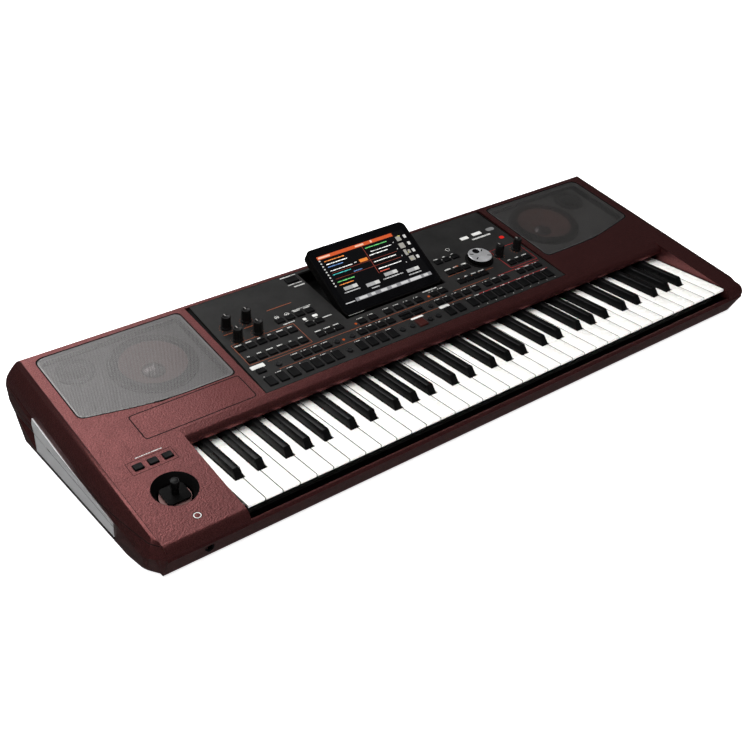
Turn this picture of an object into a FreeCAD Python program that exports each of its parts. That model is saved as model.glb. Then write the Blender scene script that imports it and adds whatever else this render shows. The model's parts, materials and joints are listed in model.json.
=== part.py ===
"""Arranger keyboard with sixty-one keys, two speakers and a tilting touch display.

Frame: millimetres, origin at the middle of the footprint on the floor, +X to the treble end, +Y to the
rear, +Z up. Pieces on the sloping deck are drawn in the deck's own frame: x across, y up the slope from
the line of the key fronts, z out of the deck.
"""
import FreeCAD
import Part
import Sketcher
import math
import os

X_AXIS = FreeCAD.Vector(1, 0, 0)
# Sides of the regular outlines that stand for small or hidden rounds.
FEW_SIDES = 8
MORE_SIDES = 12
MANY_SIDES = 24
# Steps of a speaker cone.
CONE_STEPS = 3
# Corners of a twelve-sided outline, from its flats.
OVER_CORNERS = round(1 / math.cos(math.pi / MORE_SIDES), 6)

SIZES = (
    # case
    ("case_width", 1028.8, "width over both cheeks"),
    ("cheek_wide", 20.9, "cheek, from the seam to its widest line"),
    ("wall", 3, "moulded wall"),
    ("lap", 1, "overlap of pieces moulded in one, and of cuts past a face"),
    ("nose_y", -188.5, "foremost line of the case"),
    ("lip_z", 45, "top of the front lip below the keys"),
    ("toe_y", -167, "front edge of the case bottom"),
    ("heel_in", 3.5, "rear edge of the case bottom before the rearmost face"),
    ("rear_y", 188.5, "rearmost face"),
    ("rear_low_z", 60, "lower edge of the upright rear face"),
    ("rear_high_z", 104, "upper edge of the upright rear face"),
    ("parting_in", 1, "rear parting line before the rearmost face"),
    ("parting_z", 52, "height of the parting line"),
    ("nose_round", 11, "round of the front of the blocks"),
    ("rear_round", 20, "round of the upper rear edge"),
    ("lip_set", 2, "front lip behind the foremost line"),
    ("lip_fall", 4, "rounding of the front lip, height"),
    # feet
    ("foot_height", 8, "rubber foot, height"),
    ("foot_radius", 11, "rubber foot, radius"),
    ("foot_in", 53.5, "outer feet inside the seam"),
    ("foot_front_y", -120, "front row of feet"),
    ("foot_pitch_y", 270, "feet, spacing front to rear"),
    ("fit", 0.4, "clearance of pieces that move or drop in"),
    # deck
    ("slope", 10.65, "slope of the deck, degrees"),
    ("deck_y", -178, "start of the slope, at the key fronts"),
    ("deck_z", 59.3, "height of the deck there"),
    ("deck_start", 16, "front of the flat deck plate, along the slope"),
    ("deck_run", 8.77, "rear edge of the deck before the rearmost face"),
    ("left_block", 104, "block at the left of the key bay"),
    ("right_block", 32.5, "block at the right of the key bay"),
    ("bay_end", 151.1, "front edge of the deck over the keys"),
    ("fall_y", -48, "foremost line of the fallboard"),
    ("fall_z", 73.5, "lower edge of the fallboard"),
    ("fall_top_z", 82.5, "height where the fallboard turns down"),
    ("fall_round", 9, "round of the fallboard"),
    # cheeks
    ("cheek_flat", 4, "flat strip along the top of a cheek"),
    ("cheek_depth", 58, "depth of the convex side below the deck"),
    ("cheek_round", 67, "radius of the convex side"),
    ("cheek_corner_y", -150, "where the front corner of a cheek begins"),
    ("cheek_corner", 42, "radius of the front corner of a cheek"),
    ("waist_in", 2.9, "parting line of a cheek inside its widest line"),
    ("cheek_bulge_z", 72, "height of the full width"),
    ("base_in", 6.9, "foot of a cheek inside its widest line"),
    ("cheek_hollow", 6, "depth of the hollow inside a cheek"),
    ("insert_seat", 9, "floor of the insert's pocket from the seam"),
    ("insert_proud", 0.6, "end insert stands proud of the cheek"),
    ("seam_groove", 0.7, "groove along the parting line, depth and half width"),
    ("insert_rear_y", 110, "end insert, upper rear corner"),
    ("insert_rear_z", 84, "end insert, upper rear corner height"),
    ("insert_heel_y", 141, "end insert, lower rear corner"),
    ("insert_base_z", 13.5, "end insert, lower edge"),
    ("insert_toe_y", -80, "end insert, lower front corner"),
    ("insert_front_y", -93, "end insert, upper front corner"),
    ("insert_front_z", 46, "end insert, upper front corner height"),
    # speakers
    ("grille_margin", 15, "grille, outer edge from the seam"),
    ("grille_from_panel", 12, "grille, inner edge from the panel's opening"),
    ("grille_strip", 3.8, "strip of the deck behind the grille"),
    ("grille_from_badge", 5.6, "grille, front edge from the badge plate"),
    ("grille_corner", 96.5, "grille, width of its cut corner"),
    ("grille_rise", 21.4, "grille, depth of its cut corner"),
    ("grille_gap", 0.8, "gap round the grille"),
    ("grille_sheet", 1.2, "grille sheet"),
    ("grille_fold", 2.5, "width of the folded edge"),
    ("grille_sunk", 0.3, "grille lies below the deck"),
    ("grille_round", 9, "grille corner radius"),
    ("baffle_rim", 5, "rim that carries the grille"),
    ("baffle_sunk", 13, "baffle face below the deck"),
    ("baffle_deep", 66, "depth of the speaker chamber"),
    ("woofer_in", 72, "woofer centre from the grille's inner edge"),
    ("woofer_back", 71.2, "woofer centre from the grille's rear edge"),
    ("woofer_radius", 58, "woofer basket flange"),
    ("woofer_bore", 50, "baffle hole for the woofer"),
    ("basket_deep", 16, "woofer basket depth"),
    ("magnet_radius", 34, "woofer magnet"),
    ("magnet_deep", 30, "woofer magnet depth"),
    ("cone_radius", 43, "woofer cone"),
    ("cone_dish", 14, "depth of the cone"),
    ("cone_sheet", 1.5, "wall of the cone"),
    ("surround_wide", 11, "width of the cone's surround"),
    ("surround_high", 4, "height of the cone's surround"),
    ("cap_radius", 16, "dust cap"),
    ("cap_rise", 6, "dust cap height"),
    ("tweeter_in", 38.5, "tweeter centre from the grille's outer edge"),
    ("tweeter_back", 36.6, "tweeter centre from the grille's rear edge"),
    ("tweeter_radius", 25, "tweeter face"),
    ("tweeter_bore", 17, "baffle hole for the tweeter"),
    ("dome_radius", 14, "tweeter dome"),
    ("dome_rise", 4, "tweeter dome height"),
    # badge plate
    ("badge_in", 64, "badge plate, left edge from the seam"),
    ("badge_wide", 151.5, "badge plate width"),
    ("badge_edge", 4.4, "badge plate from the deck's front edge"),
    ("badge_deep", 45.5, "badge plate depth"),
    ("badge_sheet", 1.2, "badge plate thickness"),
    ("badge_round", 4, "badge plate corner radius"),
    # control panel
    ("panel_well", 266, "half width of the opening for the panel"),
    ("panel_side", 1.5, "gap beside the panel at its front"),
    ("panel_taper", 5.5, "panel, narrowing of each side to the rear"),
    ("panel_edge", 2.5, "panel, front edge from the deck's front edge"),
    ("panel_strip", 6, "strip of the deck behind the panel"),
    ("panel_gap", 0.8, "gap in front of and behind the panel"),
    ("frame_lap", 5, "frame under the deck beside the panel"),
    ("frame_ledge", 2, "ledge of the frame under the panel's rear corners"),
    ("frame_set", 1.4, "frame behind the panel's front edge"),
    ("frame_over", 2, "frame behind the panel's rear edge"),
    ("frame_bar", 3.6, "front and rear bar of the frame"),
    ("board_drop", 8.4, "panel board below the deck"),
    ("board_sheet", 1.6, "circuit board thickness"),
    ("board_edge", 5, "panel board, margin inside the frame"),
    ("post_wide", 5, "square posts of the boards"),
    # display
    ("display_x", 1.5, "middle of the display"),
    ("display_wide", 174.6, "display width"),
    ("display_tall", 109.4, "display from its hinge to its upper edge"),
    ("display_tail", 6.1, "display below its hinge"),
    ("display_thick", 13, "display thickness"),
    ("display_lift", 3.4, "middle of the display's thickness above its hinge"),
    ("display_round", 9, "display corner radius"),
    ("display_tilt", 22.8, "tilt from the deck at rest, degrees"),
    ("hinge_v", 242.8, "hinge along the slope"),
    ("hinge_drop", 6.8, "hinge below the deck"),
    ("hinge_radius", 3, "hinge pin radius"),
    ("glass_inset", 2.5, "glass edge inside the display's edge"),
    ("glass_sheet", 1.2, "glass thickness"),
    ("well_side", 1.7, "gap beside the display"),
    ("well_before", 14.3, "well in front of the hinge"),
    ("well_behind", 0.8, "well behind the folded display"),
    ("well_floor", 22, "depth of the well"),
    ("well_wall", 2.4, "wall of the well"),
    # keys
    ("key_pitch", 23.5, "white key pitch"),
    ("key_side", 3, "lowest key from the wall of the key bay"),
    ("key_gap", 1, "gap between keys"),
    ("key_top_z", 60, "top of the white keys"),
    ("key_front_y", -178, "front of the white keys"),
    ("key_slab", 4, "white key top thickness"),
    ("key_lip", 18, "overhang of the white key's front"),
    ("rib_half", 4, "half width of the rib under a white key"),
    ("rib_z", 46, "underside of the key ribs"),
    ("sharp_front_y", -128, "front of the black keys"),
    ("sharp_rear_y", -28, "rear end of the black keys' raised part"),
    ("sharp_wide", 11.5, "black key width at its foot"),
    ("sharp_top_wide", 9.3, "black key width at its top"),
    ("sharp_rise", 11, "black key above the white keys"),
    ("sharp_run", 7, "slope of the black key's front"),
    ("sharp_skirt", 1, "black key, start of its taper below the white keys"),
    ("sharp_step_y", -110, "front of the black key's rib"),
    ("notch_gap", 1, "gap beside and before a black key"),
    ("outer_shift", 3.4, "offset of C sharp and D sharp from the key line"),
    ("group_shift", 4.6, "offset of F sharp and A sharp from the key line"),
    ("pivot_y", 17, "key pivot"),
    ("pivot_z", 51, "key pivot height"),
    ("pivot_radius", 2, "pivot rod radius"),
    ("pivot_fit", 0.3, "clearance of a key on the rod"),
    ("tail", 8, "key behind the pivot"),
    ("chassis_sheet", 3, "key chassis base"),
    ("chassis_front_y", -160, "key chassis front edge"),
    ("chassis_rear_y", 40, "key chassis rear edge"),
    ("chassis_side", 1.2, "key chassis inside the key bay"),
    ("bracket", 2.6, "pivot bracket thickness"),
    ("bracket_top_z", 54.6, "top of the pivot brackets"),
    ("bracket_half", 9, "pivot bracket half length"),
    ("rail_rear_y", -150, "front rail, rear edge"),
    ("rail_z", 33, "front rail height"),
    ("felt", 3.4, "felt thickness"),
    ("ledge_front_y", -66, "front ledge under the contact board"),
    ("ledge_rear_y", -34, "rear ledge under the contact board"),
    ("ledge_wide", 4, "ledge width"),
    ("contact_z", 36, "underside of the contact board"),
    ("contact_rubber", 4.2, "contact rubber height"),
    ("contact_rubber_y", -56, "contact rubber, front edge"),
    ("contact_rubber_wide", 10, "contact rubber width"),
    # joystick
    ("stick_in", 53, "joystick centre from the seam"),
    ("stick_v", 67.2, "joystick centre along the slope"),
    ("bowl_radius", 27.5, "bowl mouth"),
    ("bowl_inner", 21, "bowl foot"),
    ("bowl_depth", 12, "bowl depth"),
    ("cup_depth", 34, "joystick cup depth"),
    ("cup_wall", 2.5, "joystick cup wall"),
    ("stick_drop", 20, "joystick pivots below the deck"),
    ("stick_rise", 13, "joystick above the deck"),
    ("stick_radius", 4.3, "joystick thickness, half"),
    ("stick_head_radius", 5.1, "joystick head"),
    ("stick_head", 10, "joystick head height"),
    ("stick_pin", 2, "joystick pin radius"),
    ("pin_play", 0.5, "joystick pins in their eight-sided bores"),
    ("yoke_half", 13.5, "gimbal yoke, half size"),
    ("yoke_open", 9, "gimbal yoke opening, half size"),
    ("yoke_high", 6, "gimbal yoke height"),
    ("plate_wide", 30, "joystick plate width"),
    ("plate_long", 28, "joystick plate length"),
    ("plate_snub", 4, "joystick plate, cut of its corners"),
    ("plate_drop", 9.5, "joystick plate below the deck"),
    ("plate_sheet", 2, "joystick plate thickness"),
    # buttons
    ("press_top", 2, "buttons stand above the panel"),
    ("press_foot", 6.6, "buttons reach below the panel"),
    ("button_wide", 13, "button width"),
    ("button_high", 10, "square button"),
    ("button_tall", 18, "tall button"),
    ("round_radius", 4.5, "round button"),
    ("tempo_wide", 19, "tempo button width"),
    ("tempo_high", 5.6, "tempo button"),
    ("start_wide", 15, "start button width"),
    ("start_high", 16, "start button"),
    ("start_x", -1.5, "start button"),
    ("power_wide", 20, "power button width"),
    ("power_high", 13, "power button"),
    ("power_x", -103, "power button"),
    ("power_back", 14, "power button from the panel's rear edge"),
    ("switch_wide", 12, "assignable switch width"),
    ("switch_high", 10, "assignable switch"),
    ("switch_in", 34.8, "first assignable switch from the seam"),
    ("switch_pitch", 18.7, "assignable switch pitch"),
    ("switch_v", 119, "assignable switches along the slope"),
    ("front_row", 170, "front row of buttons"),
    ("second_row", 193.8, "second row"),
    ("third_row", 213.7, "third row"),
    ("style_row", 218.5, "lower style row"),
    ("style_row_up", 244.7, "upper style row"),
    ("media_row", 270.7, "media row"),
    ("page_row", 274.7, "upper row right of the display"),
    ("tempo_step", 7.4, "tempo buttons, front to rear"),
    # knobs
    ("knob_radius", 7, "knob"),
    ("knob_high", 19, "knob height"),
    ("knob_lift", 1, "knob above the panel"),
    ("shaft_radius", 3, "potentiometer shaft"),
    ("bush_radius", 4, "hole in the panel for a shaft"),
    ("can_wide", 10.4, "potentiometer body"),
    ("can_drop", 0.4, "potentiometer body below the panel"),
    ("mark_half", 0.6, "pointer groove of a knob, half width and depth"),
    ("mark_long", 3.5, "pointer groove length"),
    ("left_knob_x", -240, "left knobs"),
    ("left_knob_pitch", 31, "left knobs across"),
    ("left_knob_v", 263.5, "left knobs, front row"),
    ("left_knob_step", 30, "left knobs, front to rear"),
    ("right_knob_x", 208, "right knobs"),
    ("right_knob_pitch", 36, "right knobs across"),
    ("right_knob_v", 243.5, "right knobs along the slope"),
    ("dial_x", 174, "value dial"),
    ("dial_v", 250.3, "value dial along the slope"),
    ("dial_radius", 19, "value dial"),
    ("dial_high", 8, "value dial height"),
    ("dial_lift", 1.2, "dial above the panel"),
    ("dimple_radius", 5.5, "finger dimple"),
    ("dimple_depth", 2, "finger dimple depth"),
    ("dimple_out", 11, "finger dimple from the dial's middle"),
    # inside and rear
    ("main_wide", 220, "main board width"),
    ("main_back", 24, "main board from the rear wall of the case bottom"),
    ("main_long", 96, "main board length"),
    ("main_z", 18, "main board height"),
    ("chip_high", 2.5, "chips of the main board"),
    ("supply_x", -255, "power supply, left side"),
    ("supply_wide", 110, "power supply width"),
    ("supply_back", 27, "power supply from the rear wall of the case bottom"),
    ("supply_long", 85, "power supply length"),
    ("supply_high", 34, "power supply height"),
    ("plate_left", -252, "connector plate, left end"),
    ("plate_right", 264, "connector plate, right end"),
    ("plate_low_z", 63, "connector plate, lower edge"),
    ("plate_high_z", 99, "connector plate, upper edge"),
    ("plate_edge", 3, "connector plate behind the case wall"),
    ("socket_z", 81, "sockets, height"),
    ("jack_x", 120, "first rear jack"),
    ("jack_pitch", 30, "rear jacks"),
    ("jack_radius", 6, "jack body, half width"),
    ("jack_rim", 1.2, "plate hole round a socket's opening"),
    ("jack_bore", 3.25, "jack bore"),
    ("jack_deep", 16, "jack bore depth"),
    ("jack_body", 22, "jack body length"),
    ("din_x", -10, "first DIN socket"),
    ("din_pitch", 34, "DIN sockets"),
    ("din_radius", 9, "DIN socket body, half width"),
    ("din_bore", 7, "DIN socket opening"),
    ("din_deep", 9, "DIN socket depth"),
    ("usb_x", -80, "USB socket"),
    ("usb_wide", 12, "USB socket opening width"),
    ("usb_high", 11, "USB socket opening height"),
    ("inlet_x", -210, "mains inlet"),
    ("inlet_wide", 25, "mains inlet opening width"),
    ("inlet_high", 18, "mains inlet opening height"),
    ("inlet_deep", 14, "mains inlet depth"),
    ("shroud", 2.5, "socket wall"),
    ("phones_in", 53.5, "headphone jack from the seam"),
    ("phones_z", 30, "headphone jack height"),
    ("phones_set", 8, "mouth of the headphone jack behind the foremost line"),
)

doc = FreeCAD.newDocument("arranger_keyboard")
sheet = doc.addObject("Spreadsheet::Sheet", "Sizes")


class Dim:
    """A length with its value and the sheet formula that it follows."""

    def __init__(self, value, text):
        self.value = float(value)
        self.text = text

    def __add__(self, other):
        other = dim(other)
        return Dim(self.value + other.value, "(%s + %s)" % (self.text, other.text))

    def __sub__(self, other):
        other = dim(other)
        return Dim(self.value - other.value, "(%s - %s)" % (self.text, other.text))

    def __mul__(self, other):
        other = dim(other)
        return Dim(self.value * other.value, "(%s * %s)" % (self.text, other.text))

    def __truediv__(self, other):
        other = dim(other)
        return Dim(self.value / other.value, "(%s / %s)" % (self.text, other.text))

    def __radd__(self, other):
        return dim(other) + self

    def __rsub__(self, other):
        return dim(other) - self

    def __rmul__(self, other):
        return dim(other) * self

    def __neg__(self):
        return Dim(-self.value, "(0 - %s)" % self.text)


def dim(number):
    """A plain number as a Dim."""
    if isinstance(number, Dim):
        return number
    return Dim(number, "(%r)" % float(number))


class Sheet:
    """The driving sizes, one attribute per alias."""


S = Sheet()
for row, (alias, value, note) in enumerate(SIZES, start=1):
    sheet.set("A%d" % row, note)
    sheet.set("B%d" % row, str(value))
    sheet.setAlias("B%d" % row, alias)
    setattr(S, alias, Dim(value, "Sizes.%s" % alias))
doc.recompute()

RADIANS = math.radians(S.slope.value)
COS = Dim(math.cos(RADIANS), "cos(%s * 1 deg)" % S.slope.text)
SIN = Dim(math.sin(RADIANS), "sin(%s * 1 deg)" % S.slope.text)

half_width = S.case_width / 2
floor_z = S.foot_height + S.wall


def follow(alias, value):
    """A further row of the sheet, worked out from the sizes."""
    row = int(sheet.getUsedRange()[1][1:]) + 1
    sheet.set("A%d" % row, "follows from the sizes above")
    sheet.set("B%d" % row, "=" + value.text.replace("Sizes.", ""))
    sheet.setAlias("B%d" % row, alias)
    setattr(S, alias, Dim(value.value, "Sizes.%s" % alias))


# Across: the seam from the case, the deck's pieces from the seam or from the panel's opening.
follow("seam_half", half_width - S.cheek_wide)
follow("cheek_waist", half_width - S.waist_in)
follow("cheek_base", half_width - S.base_in)
follow("foot_pitch_x", S.seam_half - S.foot_in)
follow("bay_left", S.left_block - S.seam_half)
follow("bay_right", S.seam_half - S.right_block)
follow("key_first_x", S.bay_left + S.key_side)
follow("grille_out", S.seam_half - S.grille_margin)
follow("grille_bend", S.grille_out - S.grille_corner)
follow("grille_in", S.panel_well + S.grille_from_panel)
follow("woofer_x", S.grille_in + S.woofer_in)
follow("tweeter_x", S.grille_out - S.tweeter_in)
follow("badge_left", S.badge_in - S.seam_half)
follow("badge_right", S.badge_left + S.badge_wide)
follow("panel_front_half", S.panel_well - S.panel_side)
follow("panel_rear_half", S.panel_front_half - S.panel_taper)
follow("frame_half", S.panel_well + S.frame_lap)
follow("frame_open", S.panel_rear_half - S.frame_ledge)
follow("stick_x", S.stick_in - S.seam_half)
follow("switch_x", S.switch_in - S.seam_half)
follow("phones_x", S.phones_in - S.seam_half)
# Along the slope: from the rear face forward, and from the deck's front edge backward.
follow("deck_end", (S.rear_y - S.deck_run - S.deck_y) / COS)
follow("parting_y", S.rear_y - S.parting_in)
follow("heel_y", S.rear_y - S.heel_in)
follow("panel_front", S.bay_end + S.panel_edge)
follow("panel_rear", S.deck_end - S.panel_strip)
follow("frame_front", S.panel_front + S.frame_set)
follow("frame_rear", S.panel_rear + S.frame_over)
follow("frame_bar_front", S.frame_front + S.frame_bar)
follow("frame_bar_rear", S.frame_rear - S.frame_bar)
follow("badge_front", S.bay_end + S.badge_edge)
follow("badge_rear", S.badge_front + S.badge_deep)
follow("grille_front", S.badge_rear + S.grille_from_badge)
follow("grille_side", S.grille_front + S.grille_rise)
follow("grille_rear", S.deck_end - S.grille_strip)
follow("woofer_v", S.grille_rear - S.woofer_back)
follow("tweeter_v", S.grille_rear - S.tweeter_back)
follow("well_front", S.hinge_v - S.well_before)
follow("well_rear", S.hinge_v + S.display_tall + S.well_behind)
follow("power_v", S.panel_rear - S.power_back)
follow("main_front_y", S.heel_y - S.wall - S.main_back - S.main_long)
follow("supply_y", S.heel_y - S.wall - S.supply_back - S.supply_long)
doc.recompute()


def deck_point(along, out=0):
    """World y and z of a point of the deck's frame."""
    out = dim(out)
    return (S.deck_y + along * COS - out * SIN, S.deck_z + along * SIN + out * COS)


def bind(target, prop, value):
    """Set a size and tie it to the sheet."""
    value = dim(value)
    target.setExpression(prop, value.text)


def place(target, x=0, y=0, z=0, angle=None, prop="Placement"):
    """Put a piece at a sheet-driven place, turned about X."""
    turn = FreeCAD.Rotation(X_AXIS, angle.value if angle is not None else 0)
    spot = FreeCAD.Vector(dim(x).value, dim(y).value, dim(z).value)
    setattr(target, prop, FreeCAD.Placement(spot, turn))
    for axis, value in zip("xyz", (x, y, z)):
        bind(target, "%s.Base.%s" % (prop, axis), value)
    if angle is not None:
        bind(target, "%s.Rotation.Angle" % prop, angle)
    return target


def on_deck(target):
    """Give a piece the deck's frame."""
    return place(target, 0, S.deck_y, S.deck_z, S.slope)


def new_body(name):
    body = doc.addObject("PartDesign::Body", name)
    body.Label = name
    body.AllowCompound = True
    return body


def new_sketch(body, plane, name, offset=0):
    """A sketch on one of the body's own planes, moved along the plane's normal."""
    sketch = body.newObject("Sketcher::SketchObject", name)
    for datum in body.Origin.OriginFeatures:
        if datum.Role == plane:
            sketch.AttachmentSupport = [(datum, "")]
    sketch.MapMode = "FlatFace"
    place(sketch, z=offset, prop="AttachmentOffset")
    return sketch


class Plan:
    """Lines of a sketch and the ties that hold them, kept until all of them go in together."""

    def __init__(self):
        self.lines = []
        self.ties = []
        self.texts = []

    def tie(self, constraint, value):
        self.texts.append((len(self.ties), value.text))
        self.ties.append(constraint)

    def pin(self, line, end, point):
        """Tie one end of a line to sheet-driven coordinates."""
        for kind, value in zip(("DistanceX", "DistanceY"), point):
            value = dim(value)
            self.tie(Sketcher.Constraint(kind, -1, 1, line, end, value.value), value)


PLANS = {}


def plan_of(sketch):
    return PLANS.setdefault(sketch.Name, Plan())


def settle(sketch):
    """Put the planned lines and ties into the sketch."""
    plan = PLANS.pop(sketch.Name)
    sketch.addGeometry(plan.lines, False)
    sketch.addConstraint(plan.ties)
    for index, formula in plan.texts:
        sketch.setExpression("Constraints[%d]" % index, formula)


def outline(sketch, points, bow=None, radius=None):
    """A closed outline tied to the sheet; side number bow may be an arc that bulges to its right."""
    plan = plan_of(sketch)
    first = len(plan.lines)
    corners = [FreeCAD.Vector(dim(x).value, dim(y).value, 0) for x, y in points]
    count = len(corners)
    for i in range(count):
        start = corners[i]
        stop = corners[(i + 1) % count]
        if i == bow:
            plan.lines.append(bulge(start, stop, radius.value))
        else:
            plan.lines.append(Part.LineSegment(start, stop))
    for i in range(count):
        plan.ties.append(Sketcher.Constraint("Coincident", first + i, 2, first + (i + 1) % count, 1))
    for i, point in enumerate(points):
        plan.pin(first + i, 1, point)
    if bow is not None:
        plan.tie(Sketcher.Constraint("Radius", first + bow, radius.value), radius)
    return sketch


def bulge(start, stop, radius):
    """Arc from start to stop, turning left about a centre on the left of the chord."""
    chord = stop - start
    left = FreeCAD.Vector(-chord.y, chord.x, 0).normalize()
    centre = start + chord * 0.5 + left * math.sqrt(radius ** 2 - chord.Length ** 2 / 4)
    ring = Part.Circle(centre, FreeCAD.Vector(0, 0, 1), radius)
    return Part.ArcOfCircle(ring, ring.parameter(start), ring.parameter(stop))


def rectangle(sketch, left, right, low, high):
    return outline(sketch, [(left, low), (right, low), (right, high), (left, high)])


def block(sketch, x, y, wide, high):
    """A rectangle about its middle."""
    half = dim(wide) / 2
    rise = dim(high) / 2
    return rectangle(sketch, x - half, x + half, y - rise, y + rise)


def circle(sketch, x, y, radius):
    """A circle tied to the sheet."""
    plan = plan_of(sketch)
    x, y, radius = dim(x), dim(y), dim(radius)
    number = len(plan.lines)
    middle = FreeCAD.Vector(x.value, y.value, 0)
    plan.lines.append(Part.Circle(middle, FreeCAD.Vector(0, 0, 1), radius.value))
    plan.pin(number, 3, (x, y))
    plan.tie(Sketcher.Constraint("Radius", number, radius.value), radius)
    return sketch


def many_sided(sketch, x, y, radius, sides):
    """A regular outline for a small or hidden round, with few faces."""
    corners = []
    for number in range(sides):
        turn = 2 * math.pi * (number + 0.5) / sides
        corners.append((x + radius * round(math.cos(turn), 6), y + radius * round(math.sin(turn), 6)))
    return outline(sketch, corners)


def pad(body, sketch, length, symmetric=False, down=False):
    settle(sketch)
    feature = body.newObject("PartDesign::Pad", sketch.Name + "_pad")
    feature.Profile = sketch
    feature.SideType = "Symmetric" if symmetric else "One side"
    feature.Reversed = down
    bind(feature, "Length", length)
    sketch.Visibility = False
    return feature


def pocket(body, sketch, length=None, up=False):
    """Cut down into the body, or right through it both ways where no depth is given."""
    settle(sketch)
    feature = body.newObject("PartDesign::Pocket", sketch.Name + "_cut")
    feature.Profile = sketch
    feature.Reversed = up
    if length is None:
        feature.Type = "ThroughAll"
        feature.SideType = "Symmetric"
    else:
        bind(feature, "Length", length)
    return feature


def edges_where(feature, test):
    """Names of the straight edges whose ends pass the test."""
    names = []
    for index, edge in enumerate(feature.Shape.Edges, start=1):
        if len(edge.Vertexes) == 2 and test(edge.Vertexes[0].Point, edge.Vertexes[1].Point):
            names.append("Edge%d" % index)
    return names


def round_edges(body, radius, test):
    """Round the edges of the body so far that pass the test."""
    doc.recompute()
    base = body.Tip
    feature = body.newObject("PartDesign::Fillet", "%s_round" % base.Name)
    feature.Base = (base, edges_where(base, test))
    bind(feature, "Radius", radius)
    return feature


def upright_at(points):
    """Test for edges along z that stand on given plan points."""
    spots = [FreeCAD.Vector(dim(x).value, dim(y).value, 0) for x, y in points]

    def test(start, stop):
        upright = abs(start.x - stop.x) < 0.01 and abs(start.y - stop.y) < 0.01
        return upright and any((FreeCAD.Vector(start.x, start.y, 0) - spot).Length < 0.01 for spot in spots)

    return test


def along_x_at(points):
    """Test for edges along x that pass through given y, z points."""
    spots = [FreeCAD.Vector(0, dim(y).value, dim(z).value) for y, z in points]

    def test(start, stop):
        level = abs(start.y - stop.y) < 0.01 and abs(start.z - stop.z) < 0.01
        return level and any((FreeCAD.Vector(0, start.y, start.z) - spot).Length < 0.01 for spot in spots)

    return test


def fuse(name, pieces):
    joined = doc.addObject("Part::MultiFuse", name)
    joined.Shapes = pieces
    joined.Refine = True
    joined.Label = name
    return joined


def cut(name, base, tool):
    remains = doc.addObject("Part::Cut", name)
    remains.Base = base
    remains.Tool = tool
    remains.Label = name
    return remains


def common(name, pieces):
    shared = doc.addObject("Part::MultiCommon", name)
    shared.Shapes = pieces
    shared.Label = name
    return shared


def group(name, pieces):
    several = doc.addObject("Part::Compound", name)
    several.Links = pieces
    several.Label = name
    return several


def mirrored(name, source):
    """The same piece at the other end of the keyboard."""
    image = doc.addObject("Part::Mirroring", name)
    image.Source = source
    image.Normal = X_AXIS
    image.Label = name
    return image


def copies(name, source, offsets):
    """A group of a piece and its copies, each moved in x and y."""
    pieces = [source]
    for number, (step_x, step_y) in enumerate(offsets, start=2):
        copy = doc.addObject("App::Link", "%s_%d" % (name, number))
        copy.LinkedObject = source
        place(copy, step_x, step_y, 0, prop="LinkPlacement")
        pieces.append(copy)
    return group(name, pieces)


def prism(name, sketch, length, back=0):
    """A solid drawn out of a sketch."""
    settle(sketch)
    solid = doc.addObject("Part::Extrusion", name)
    solid.Base = sketch
    solid.DirMode = "Normal"
    solid.Solid = True
    bind(solid, "LengthFwd", length)
    bind(solid, "LengthRev", back)
    solid.Label = name
    return solid


def body_on_deck(name, x, v):
    """A body whose axis is the deck's normal through a point."""
    piece = new_body(name)
    y, z = deck_point(v)
    place(piece, x, y, z, S.slope)
    return piece


NODES = {}


def node(name, piece):
    """Keep a finished piece under its own name."""
    piece.Label = name
    NODES[name] = piece
    return piece


# Section points shared by the case, the blocks and the cheeks.
deck_rear = deck_point(S.deck_end)
nose_top = (S.nose_y, S.deck_z + (S.nose_y - S.deck_y) * SIN / COS)
nose_foot = (S.nose_y, S.lip_z)
lip_chin = (S.nose_y, S.lip_z - S.lip_fall)
toe = (S.toe_y, S.foot_height)
heel = (S.heel_y, S.foot_height)
rear_low = (S.rear_y, S.rear_low_z)
rear_high = (S.rear_y, S.rear_high_z)
parting = (S.parting_y, S.parting_z)


def build_lower_case():
    """Tub with the rounded front lip, posts for the main board and the headphone hole."""
    body = new_body("bottom_case")
    section = new_sketch(body, "YZ_Plane", "tub_section")
    lip_y = S.nose_y + S.lip_set
    outline(section, [
        toe,
        lip_chin,
        (lip_y, S.lip_z),
        (lip_y + S.wall, S.lip_z),
        (lip_y + S.wall, S.lip_z - S.lip_fall),
        (S.toe_y + S.wall, floor_z),
        (S.heel_y - S.wall, floor_z),
        (S.parting_y - S.wall, S.parting_z),
        parting,
        heel,
    ])
    pad(body, section, S.seam_half * 2, symmetric=True)
    posts = new_sketch(body, "XY_Plane", "board_posts", floor_z)
    for side in (-1, 1):
        for end in (S.main_front_y + S.post_wide, S.main_front_y + S.main_long - S.post_wide):
            block(posts, (S.main_wide / 2 - S.post_wide) * side, end, S.post_wide, S.post_wide)
    pad(body, posts, S.main_z - floor_z)
    phones = new_sketch(body, "XZ_Plane", "phones_hole", -S.toe_y)
    many_sided(phones, S.phones_x, S.phones_z, S.jack_radius + S.fit, MORE_SIDES)
    pocket(body, phones, S.toe_y - S.nose_y, up=True)
    node("bottom_case", body)


def build_feet():
    foot = doc.addObject("Part::Prism", "foot")
    foot.Polygon = MORE_SIDES
    bind(foot, "Circumradius", S.foot_radius)
    bind(foot, "Height", S.foot_height)
    place(foot, -S.foot_pitch_x, S.foot_front_y, 0)
    spots = []
    for row in range(2):
        for column in range(3):
            if row or column:
                spots.append((S.foot_pitch_x * (column - 1), S.foot_front_y + S.foot_pitch_y * row))
    node("feet", copies("feet", foot, spots))


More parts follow.
